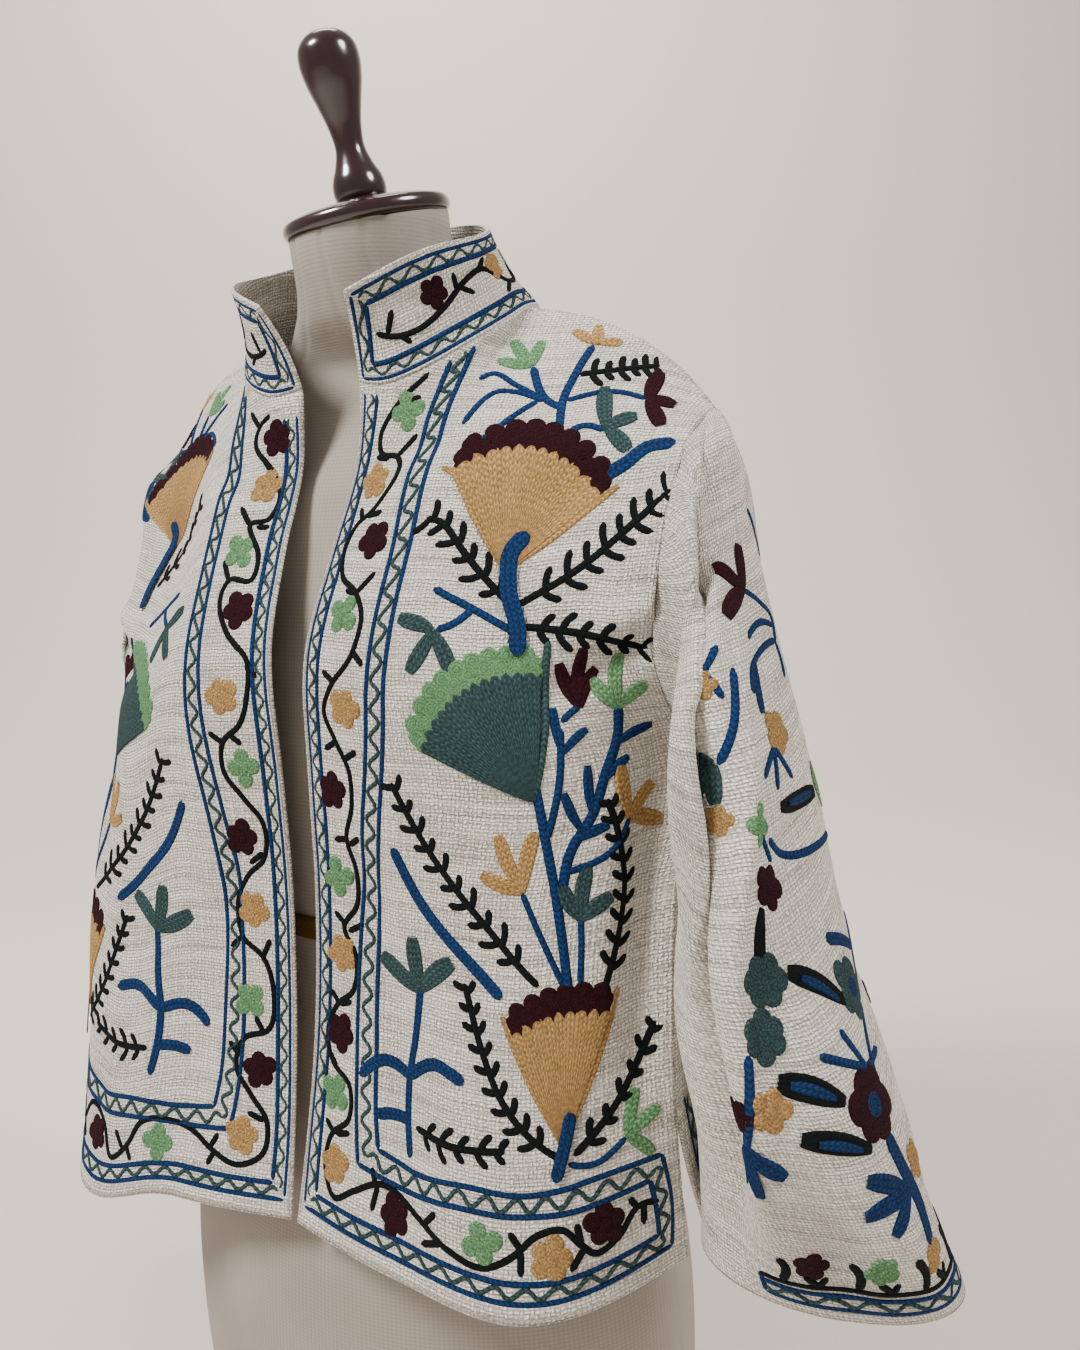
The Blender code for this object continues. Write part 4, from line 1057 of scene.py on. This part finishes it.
# the garden on each half of the jacket, x from the front edge or the middle of the back, y from the hem
def garden(s, moves):
    def at(group):
        s.move = moves.get(group, (0.0, 0.0))
        return s.move is not None
    at("top")
    s.line([(150, 480), (148, 492), (147, 504), (155, 526), (166, 546)], "blue", 5.4)
    s.line([(147, 500), (135, 503), (123, 521)], "blue", 5.4)
    s.line([(136, 502), (110, 508), (86, 516)], "blue", 4.1)
    s.line([(134, 501), (106, 501), (84, 484)], "blue", 4.1)
    s.line([(130, 500), (114, 484), (99, 467)], "blue", 4.1)
    s.tulip((122, 522), [(97, 521), (106, 537), (127, 540)], 8.5, "green")
    s.tulip((171, 549), [(152, 553), (172, 562), (190, 556)], 8.0, "mustard")
    s.sprig([(157, 524), (180, 534), (222, 556)], 8.0, 9.0)
    s.line([(150, 506), (176, 519), (208, 527)], "blue", 4.1)
    s.tulip((210, 527), [(222, 552), (234, 536), (221, 514)], 10.0, "maroon")
    s.line([(153, 482), (164, 492), (180, 494)], "blue", 4.4)
    s.tulip((181, 496), [(176, 522), (202, 512), (198, 488)], 10.0, "slate")
    s.line([(181, 466), (196, 479), (212, 496), (233, 507)], "blue", 8.5, 2)
    at("crown")
    s.fan((131, 400), (80, 458), (194, 466), 22, "mustard", "maroon", 8, 8.4, 34)
    s.line([(141, 424), (133, 412), (136, 394), (146, 372), (148, 358)], "blue", 9.8, 3, 1.7)
    at("middle")
    s.sprig([(139, 385), (112, 402), (77, 430)], 11.0, 10.5)
    if at("spray"):
        s.sprig([(144, 385), (168, 405), (196, 436), (229, 477)], 12.0, 11.5)
        s.sprig([(149, 374), (184, 376), (219, 377)], 11.0, 9.5)
    at("tulip")
    s.line([(92, 386), (118, 379), (145, 370)], "blue", 4.6)
    s.line([(118, 379), (108, 370), (99, 366)], "blue", 4.6)
    s.tulip((97, 365), [(74, 376), (86, 345), (113, 344)], 9.5, "slate")
    at("fan")
    s.fan((157, 278), (80, 309), (164, 362), 15, "slate", "green", 9, 7.4, 32, arms=False)
    s.line([(156, 279), (163, 320), (164, 368)], "slate", 4.4, 1, 0.5)
    at("stems")
    s.line([(155, 294), (164, 262), (175, 218), (183, 172)], "blue", 5.6)
    s.line([(166, 258), (170, 285), (171, 318)], "blue", 4.4)
    s.petal((171, 306), (168, 330), 5.5, "blue")
    s.petal((172, 304), (186, 318), 5.5, "blue")
    s.line([(172, 322), (177, 327), (183, 332)], "blue", 4.1)
    s.tulip((183, 331), [(171, 357), (184, 368), (192, 356)], 8.0, "maroon")
    s.line([(177, 226), (180, 250), (190, 268), (196, 290), (203, 312), (204, 334)], "blue", 5.9)
    s.tulip((204, 333), [(190, 349), (204, 369), (219, 352)], 8.5, "green")
    for base, tip in (((203, 309), (224, 321)), ((191, 268), (186, 297)), ((186, 260), (173, 283)),
                      ((184, 256), (200, 262)), ((196, 288), (210, 300))):
        s.petal(base, tip, 6.0, "blue")
    s.line([(176, 238), (204, 248), (213, 264)], "blue", 3.8)
    s.tulip((213, 264), [(205, 295), (231, 281), (238, 258)], 10.0, "mustard")
    s.line([(154, 228), (166, 204), (180, 176)], "blue", 3.8)
    s.tulip((154, 229), [(138, 261), (129, 238), (159, 262)], 9.0, "mustard")
    s.line([(188, 212), (189, 194), (189, 176)], "blue", 3.8)
    s.tulip((188, 211), [(176, 231), (190, 240), (204, 221)], 9.0, "slate")
    s.sprig([(201, 168), (209, 196), (212, 225), (207, 252), (198, 277)], 9.5, 10.0)
    s.sprig([(166, 177), (128, 213), (98, 245), (70, 287)], 10.5, 10.5)
    at("bar")
    s.line([(69, 248), (88, 218), (114, 194), (144, 170)], "blue", 7.3, 2)
    at("tree")
    s.tulip((88, 166), [(56, 180), (82, 196), (111, 186)], 12.0, "slate")
    s.line([(88, 167), (85, 140), (80, 112), (81, 90), (86, 68)], "blue", 5.9, 2)
    s.line([(43, 105), (60, 118), (80, 113)], "blue", 7.5, 2, 0.1)
    s.line([(80, 113), (102, 126), (123, 121)], "blue", 7.5, 2, 0.1)
    s.line([(57, 85), (68, 88), (82, 88)], "blue", 7.3, 2, 0.1)
    s.sprig([(89, 86), (118, 85), (151, 88)], 10.5, 9.5)
    at("low")
    s.sprig([(182, 84), (164, 96), (146, 116), (132, 142), (119, 175)], 9.5, 10.0)
    s.fan((184, 88), (145, 160), (210, 169), 9, "mustard", "maroon", 6, 7.2, 24)
    s.line([(187, 108), (185, 90), (182, 72)], "blue", 7.1, 2, 1.7)
    s.sprig([(191, 84), (211, 104), (234, 144)], 8.5, 9.0)
    s.line([(188, 80), (204, 77), (220, 86)], "blue", 3.8)
    s.tulip((221, 86), [(224, 111), (239, 97), (238, 72)], 8.0, "green")
    s.move = (0.0, 0.0)


def frontBorders(s, width, border):
    # the outer border along the front edge, the hem and the slit, and the inner border of the garden
    hemCorner, slitTop = width - 9, width - 26
    s.band([(4, 560), (4, 480), (4, 360), (4, 240), (4, 120), (4, 40), (5, 14)],
           [(13, 560), (13, 480), (13, 360), (13, 240), (13, 120), (13, 40), (14, 24)])
    s.band([(5, 12), (60, 11), (120, 11), (190, 10), (hemCorner, 13)],
           [(14, 22), (60, 21), (120, 21), (190, 20), (hemCorner - 11, 23)])
    s.band([(hemCorner, 13), (width - 16, 42), (slitTop, 69)],
           [(hemCorner - 11, 23), (width - 26, 42), (width - 32, 57)])
    s.band([(57, 560), (57, 480), (57, 405), (56, 350), (52, 300), (45, 250), (40, 190), (39, 120), (43, 74),
            (47, 53)],
           [(71, 560), (70, 480), (69, 405), (69, 350), (66, 310), (59, 256), (54, 200), (54, 130), (57, 84),
            (61, 65)])
    s.band([(47, 53), (80, 49), (131, 54), (180, 54), (width - 32, 57)],
           [(61, 65), (88, 61), (129, 66), (170, 65), (205, 69), (slitTop, 69)])
    s.line(border["vine"], "dark", 4.0)
    for k, (place, color) in enumerate(border["flowers"]):
        s.flower(place, 12.5, color, 4 if color == "green" else 5, 17.0 * k)
    for twig in border["twigs"]:
        s.line(twig, "dark", 4.2)


# the winding stem of the border on each front, its flowers and its side shoots
leftBorder = {
    "flowers": [
        ((38, 535), "green"), ((27, 490), "mustard"), ((40, 440), "maroon"), ((29, 394), "green"),
        ((37, 332), "mustard"), ((22, 277), "maroon"), ((21, 222), "green"), ((24, 175), "mustard"),
        ((24, 126), "maroon"), ((22, 88), "green"), ((28, 46), "mustard"), ((80, 33), "maroon"),
        ((143, 38), "green"), ((184, 32), "mustard"), ((213, 43), "maroon"),
    ],
    "vine": [
        (45, 560), (30, 548), (21, 530), (26, 512), (40, 500), (46, 478), (34, 466), (20, 462),
        (14, 448), (18, 426), (36, 406), (46, 384), (42, 364), (26, 348), (19, 332), (28, 310),
        (38, 290), (38, 268), (30, 248), (36, 228), (36, 206), (26, 192), (36, 176), (34, 154),
        (20, 142), (12, 124), (18, 106), (34, 96), (36, 76), (22, 62), (20, 40), (30, 27), (46, 36),
        (64, 46), (100, 38), (124, 29), (146, 26), (162, 34), (174, 44), (188, 46), (200, 36),
        (210, 29), (222, 33), (232, 45), (246, 43),
    ],
    "twigs": [
        [(34, 546), (45, 540)], [(40, 500), (52, 506)], [(34, 503), (22, 512)], [(24, 463), (20, 474)],
        [(28, 464), (42, 458)], [(36, 406), (26, 412)], [(36, 406), (48, 414)], [(43, 366), (52, 356)],
        [(28, 350), (18, 358)], [(28, 310), (18, 304)], [(34, 298), (45, 304)], [(32, 248), (20, 246)],
        [(32, 244), (42, 250)], [(28, 193), (18, 200)], [(30, 190), (42, 196)], [(22, 143), (14, 150)],
        [(22, 143), (33, 147)], [(22, 104), (14, 112)], [(26, 64), (38, 68)], [(24, 64), (16, 70)],
        [(62, 46), (58, 54)], [(64, 45), (62, 30)], [(104, 37), (112, 46)], [(118, 31), (104, 26)],
        [(166, 37), (158, 46)], [(166, 37), (168, 24)], [(200, 36), (196, 48)], [(202, 34), (196, 24)],
        [(232, 45), (226, 52)], [(236, 45), (238, 34)],
    ],
}
rightBorder = {
    "flowers": [
        ((20, 545), "maroon"), ((27, 505), "mustard"), ((36, 450), "green"), ((27, 410), "maroon"),
        ((37, 345), "mustard"), ((27, 296), "green"), ((36, 249), "maroon"), ((31, 202), "mustard"),
        ((34, 143), "green"), ((26, 96), "maroon"), ((38, 50), "mustard"), ((103, 36), "green"),
        ((168, 36), "maroon"), ((216, 42), "mustard"),
    ],
    "vine": [
        (24, 562), (36, 546), (40, 526), (26, 520), (14, 504), (18, 484), (32, 472), (20, 456),
        (22, 434), (38, 428), (44, 408), (34, 390), (18, 376), (18, 348), (26, 326), (40, 312),
        (42, 292), (30, 276), (18, 260), (20, 236), (34, 224), (44, 206), (40, 184), (24, 172),
        (16, 148), (20, 124), (38, 116), (44, 96), (32, 78), (20, 62), (22, 40), (40, 30), (60, 36),
        (78, 46), (92, 50), (116, 50), (130, 34), (146, 26), (158, 46), (180, 50), (196, 34), (212, 28),
        (230, 36), (246, 44),
    ],
    "twigs": [
        [(36, 546), (46, 552)], [(22, 516), (34, 524)], [(32, 472), (44, 478)], [(26, 474), (16, 478)],
        [(40, 426), (48, 436)], [(22, 380), (32, 388)], [(18, 370), (10, 362)], [(40, 312), (50, 318)],
        [(34, 318), (26, 312)], [(20, 240), (32, 232)], [(40, 184), (50, 176)], [(24, 172), (18, 184)],
        [(24, 122), (30, 132)], [(42, 104), (50, 112)], [(22, 62), (34, 66)], [(58, 36), (64, 26)],
        [(62, 38), (56, 48)], [(130, 34), (126, 24)], [(134, 32), (142, 44)], [(196, 34), (190, 24)],
        [(198, 33), (204, 44)], [(232, 37), (236, 26)],
    ],
}
# how far each group of motifs lies from its place on the left front. None leaves it out
rightMoves = {"top": (34, 18), "crown": (36, 40), "middle": (32, 28), "spray": None, "tulip": (9, 10),
              "fan": (22, 8), "stems": (26, 10), "bar": (12, 22), "tree": (26, 14), "low": (26, 8)}


def sleeveGarden(s, side=0.0):
    # a climbing stem, x round from the outer side towards the back, y down from the armhole
    s.move = (side, 0.0)
    s.line([(41, 58), (52, 62), (62, 72)], "blue", 4.2)
    s.tulip((11, 93), [(13, 74), (-22, 73), (-11, 98)], 11.0, "maroon")
    s.line([(11, 93), (31, 100), (43, 106), (38, 116)], "blue", 4.2)
    s.line([(7, 111), (21, 108), (41, 109)], "blue", 4.2)
    s.line([(3, 121), (20, 117), (38, 115)], "blue", 4.2)
    s.line([(38, 129), (40, 122), (38, 115)], "blue", 4.2)
    s.petal((6, 120), (-3, 128), 8.5, "blue")
    s.petal((8, 120), (3, 137), 8.5, "blue")
    s.flower((11, 146), 13.0, "mustard", 5)
    for tip in ((-10, 157), (0, 165), (16, 165)):
        s.line([(5, 150), tip], "blue", 4.8)
    s.petal((46, 164), (64, 182), 14.0, "green")
    s.petal((0, 172), (44, 176), 12.0, "dark")
    s.petal((8, 173), (38, 176), 5.5, "blue", lift=0.8)
    s.flower((-25, 170), 11.5, "green", 4)
    s.line([(60, 198), (34, 199), (7, 195), (-14, 180)], "blue", 4.8)
    s.line([(-22, 174), (-12, 190)], "blue", 4.4)
    s.flower((-17, 199), 12.5, "maroon")
    s.petal((-26, 204), (-38, 228), 8.5, "dark")
    s.flower((-38, 230), 14.0, "slate", 6)
    s.flower((-52, 249), 13.0, "slate", 6, 50.0)
    s.line([(14, 234), (30, 240), (44, 247)], "blue", 7.4, 2)
    s.line([(62, 236), (48, 246), (36, 262)], "blue", 4.8)
    s.flower((20, 257), 17.5, "slate", 5, eye="blue")
    s.petal((8, 258), (-22, 233), 12.0, "dark")
    s.petal((2, 255), (-16, 238), 5.5, "blue", lift=0.8)
    s.line([(30, 268), (18, 276), (6, 290)], "blue", 5.2)
    for tip in ((-6, 264), (-26, 267), (26, 286)):
        s.line([(2, 284), tip], "blue", 4.8)
    s.flower((-7, 296), 19.5, "maroon", 6, eye="blue")
    s.petal((-24, 287), (-56, 268), 13.0, "dark")
    s.petal((-29, 284), (-50, 271), 6.0, "blue", lift=0.8)
    s.petal((-22, 310), (-58, 294), 11.0, "dark")
    s.petal((-28, 308), (-50, 298), 5.0, "blue", lift=0.8)
    s.line([(-7, 310), (-6, 324), (-5, 346), (-12, 368)], "blue", 9.5, 3)
    for tip in ((-33, 322), (-43, 339), (-32, 353)):
        s.petal((-9, 338), tip, 9.5, "blue")
    s.flower((9, 332), 10.5, "mustard")
    s.flower((-67, 278), 11.5, "mustard")
    s.flower((-84, 277), 9.0, "maroon")
    s.line([(-66, 252), (-75, 271), (-88, 294)], "blue", 5.2)
    for tip in ((-101, 322), (-90, 322), (-75, 311)):
        s.petal((-87, 292), tip, 9.0, "blue")
    s.line([(-14, 116), (-22, 130), (-38, 140)], "blue", 5.2)
    for tip in ((-46, 90), (-24, 104)):
        s.line([(-35, 108), tip], "blue", 4.4)
    s.line([(-35, 108), (-26, 122)], "blue", 4.4)
    s.flower((-36, 112), 8.5, "mustard")
    s.tulip((-40, 139), [(-62, 126), (-57, 147), (-45, 152)], 10.0, "slate")
    s.flower((-46, 158), 8.5, "mustard")
    s.move = (0.0, 0.0)


def cuffBorder(s, panel):
    # a row of leaves and small flowers on a base line, and the blue border round the cuff
    end, half = panel.upTo[-1] * 1000, panel.width[-1] * 500
    # it stops at the front fold, as in the photo, where the side that faces the body is plain
    full = [(x, end) for x in np.linspace(-107, half - 0.5, 11)]
    for inset, color in ((22, "dark"), (17, "blue"), (8, "blue")):
        s.line([(x, y - inset) for x, y in full], color, 3.4)
    s.zigzag([(x, y - 12.5) for x, y in full], height=2.6)
    s.line([(-107, end - 22), (-107, end - 8)], "blue", 3.4)
    for k in range(9):
        x = -82 + 33 * k
        color = ("maroon", "green", "mustard")[k % 3]
        s.line([(x - 14, end - 23), (x - 10, end - 36), (x - 12, end - 42)], "dark", 5.0)
        s.line([(x + 2, end - 23), (x - 3, end - 30)], "dark", 4.2)
        s.line([(x + 2, end - 23), (x + 7, end - 30)], "dark", 4.2)
        s.flower((x + 2, end - 38), 9.5, color, 5, 40.0 * k)


def collarStitching(panel):
    # each half from its front corner to the middle of the back
    for name, anchor, way in (("collar_left", 0.0, 1.0), ("collar_right", 1.0, -1.0)):
        s = Stitching(panel, anchor, way)
        top = panel.upTo[-1] * 1000
        s.band([(4, 4), (70, 4), (150, 4), (278, 4)], [(13, 13), (70, 13), (150, 13), (270, 13)])
        s.band([(4, top - 4), (70, top - 4), (150, top - 4), (236, top - 4)],
               [(13, top - 12), (70, top - 12), (150, top - 12), (241, top - 12)])
        s.band([(4, 4), (4, 28), (4, top - 4)], [(13, 13), (13, 30), (13, top - 12)])
        s.line([(18, 30), (32, 24), (48, 22), (64, 26), (78, 34), (96, 38), (112, 30), (130, 22), (150, 24),
                (168, 34), (188, 38), (206, 30), (226, 22), (250, 26)], "dark", 3.7)
        for base, tip in (((26, 27), (30, 38)), ((34, 24), (42, 17)), ((76, 33), (88, 26)),
                          ((74, 32), (72, 42)), ((92, 37), (100, 44)), ((130, 22), (122, 16)),
                          ((140, 22), (144, 34)), ((168, 34), (160, 42)), ((176, 36), (182, 26)),
                          ((206, 30), (200, 20)), ((222, 24), (228, 34))):
            s.line([base, tip], "dark", 3.7)
        for place, color in (((58, 36), "maroon"), ((112, 36), "mustard"), ((152, 35), "green"),
                             ((194, 26), "maroon"), ((236, 35), "mustard")):
            s.flower(place, 9.5, color, 5, place[0])
        s.finish(name)


def sewDecoration(found):
    for name in ("front_left", "front_right"):
        s = Stitching(found[name])
        left = name == "front_left"
        width = found[name].width[4] * 1000
        frontBorders(s, width, leftBorder if left else rightBorder)
        garden(s, {} if left else rightMoves)
        s.line([(width - 10, 3), (120, 2.5), (6, 3)], "cream", 1.2, lift=0.4)
        s.line([(1.8, 6), (1.8, 280), (1.8, 560)], "cream", 1.2, lift=0.4)
        s.finish(name)
    back = found["back"]
    s = Stitching(back)
    half = back.width[4] * 500
    for flip in (1.0, -1.0):
        s.flip = flip
        garden(s, {"tree": (-20, 0)})
        s.band([(0, 12), (130, 12), (260, 12), (half - 9, 14)],
               [(0, 21), (130, 21), (250, 21), (half - 20, 24)])
        s.band([(half - 9, 14), (half - 5, 60), (half - 4, 96)],
               [(half - 20, 24), (half - 15, 60), (half - 14, 90)])
        s.sprig([(262, 84), (282, 150), (290, 230), (282, 320)], 13.0, 14.0)
        s.flower((322, 190), 14, "maroon", 5)
        s.flower((318, 120), 12, "green", 4)
        s.flower((316, 270), 13, "mustard", 5)
        s.sprig([(2, 215), (26, 244), (46, 296)], 10.0, 10.0)
        s.sprig([(2, 345), (30, 396), (44, 440)], 10.0, 10.0)
    s.flip = 1.0
    s.line([(0, 60), (3, 140), (-3, 230), (0, 320)], "blue", 6.4, 2)
    s.fan((0, 312), (-46, 372), (46, 372), 20, "mustard", "maroon", 7, 8.0, 28)
    s.line([(0, 330), (0, 300), (0, 280)], "blue", 8.0, 2, 1.7)
    s.tulip((0, 440), [(-22, 462), (0, 474), (22, 462)], 10.0, "green")
    s.line([(0, 398), (2, 420), (0, 440)], "blue", 5.0)
    s.tulip((0, 96), [(-16, 118), (0, 128), (16, 118)], 9.0, "slate")
    s.finish("back")
    for name in ("sleeve_left", "sleeve_right"):
        s = Stitching(found[name])
        sleeveGarden(s)
        sleeveGarden(s, 150.0)
        cuffBorder(s, found[name])
        s.finish(name)
    collarStitching(found["collar"])
    print("embroidery laid")


backdrop = {"name": "pale_backdrop", "color": "E2D8CF", "roughness": 0.9, "turn": 29.0}


def buildStage():
    # a matt painted floor that curves up into the wall, turned to face the camera
    made, shader, _ = startMaterial(backdrop)
    shader.inputs["Base Color"].default_value = linear(backdrop["color"])
    rows = [(-3.0, 0.0), (1.6, 0.0)]
    rows += [(1.6 + 1.4 * math.sin(a), 1.4 - 1.4 * math.cos(a)) for a in np.linspace(0.1, math.pi / 2, 16)]
    rows += [(3.0, 4.5)]
    points = np.array([[(x, y, z) for x in (-7.0, 7.0)] for y, z in rows])
    turnBack = Matrix.Rotation(math.radians(backdrop["turn"]), 3, "Z")
    points = points.reshape(-1, 3) @ np.array(turnBack).T
    floor = newMesh("backdrop", points, quads(len(rows), 2, False), "cloth", points[:, :2], [made])
    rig.stage(floor)


lights = {
    # place, target, size, watts, colour
    "key": ((-0.9, -1.5, 2.5), (0.05, 0.0, 0.5), 0.7, 112.0, (1.0, 0.99, 0.97)),
    "side": ((1.9, 0.1, 2.2), (0.1, 0.0, 0.45), 0.8, 55.0, (1.0, 0.98, 0.95)),
    "wall": ((-0.9, 0.9, 3.4), (-1.8, 2.8, 1.7), 1.4, 75.0, (1.0, 0.98, 0.95)),
}
room = {"color": "E9E6E2", "strength": 0.52}


def buildLights():
    for name, (place, target, size, watts, color) in lights.items():
        light = bpy.data.lights.new(name, "AREA")
        light.shape, light.size, light.energy, light.color = "DISK", size, watts, color
        made = bpy.data.objects.new(name, light)
        bpy.context.scene.collection.objects.link(made)
        made.location = place
        made.rotation_euler = (Vector(target) - Vector(place)).to_track_quat("-Z", "Y").to_euler()
    world = bpy.data.worlds.new("soft_room")
    world.use_nodes = True
    world.node_tree.nodes["Background"].inputs["Color"].default_value = linear(room["color"])
    world.node_tree.nodes["Background"].inputs["Strength"].default_value = room["strength"]
    bpy.context.scene.world = world


# the camera stands where the photo was taken; angles in degrees, lens in millimetres
view = {"place": (0.4477, -0.602, 0.6843), "yaw": 29.12, "pitch": 9.07, "roll": -2.63, "lens": 28.8}


def buildCamera():
    data = bpy.data.cameras.new("camera")
    data.sensor_width, data.lens, data.clip_start = 36.0, view["lens"], 0.01
    made = bpy.data.objects.new("camera", data)
    bpy.context.scene.collection.objects.link(made)
    yaw, pitch, roll = (math.radians(view[key]) for key in ("yaw", "pitch", "roll"))
    ahead = Vector((-math.sin(yaw) * math.cos(pitch), math.cos(yaw) * math.cos(pitch), -math.sin(pitch)))
    right = Vector((math.cos(yaw), math.sin(yaw), 0.0))
    up = right.cross(ahead)
    rolledRight = right * math.cos(roll) + up * math.sin(roll)
    rolledUp = up * math.cos(roll) - right * math.sin(roll)
    turn = Matrix((rolledRight, rolledUp, -ahead)).transposed().to_4x4()
    made.matrix_world = Matrix.Translation(view["place"]) @ turn
    bpy.context.scene.camera = made


buildStage()
buildLights()
buildCamera()
print("stage, lights and camera set")
buildForm()
panels = buildPanels()
makeCreases(panels)
for panel in panels.values():
    panel.measure()
threads = {name: chainStitch(name, *tones) for name, tones in threadColors.items()}
cotton = wovenCotton(cottonLook)
for panel in panels.values():
    panel.shell([cotton])
print("cloth built")
sewDecoration(panels)
declareSheets(panels)

with open("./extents.json", "w") as sizeFile:
    json.dump({"before": [list(corner) for corner in firstBounds],
               "after": [list(corner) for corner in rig.bounds()]}, sizeFile)
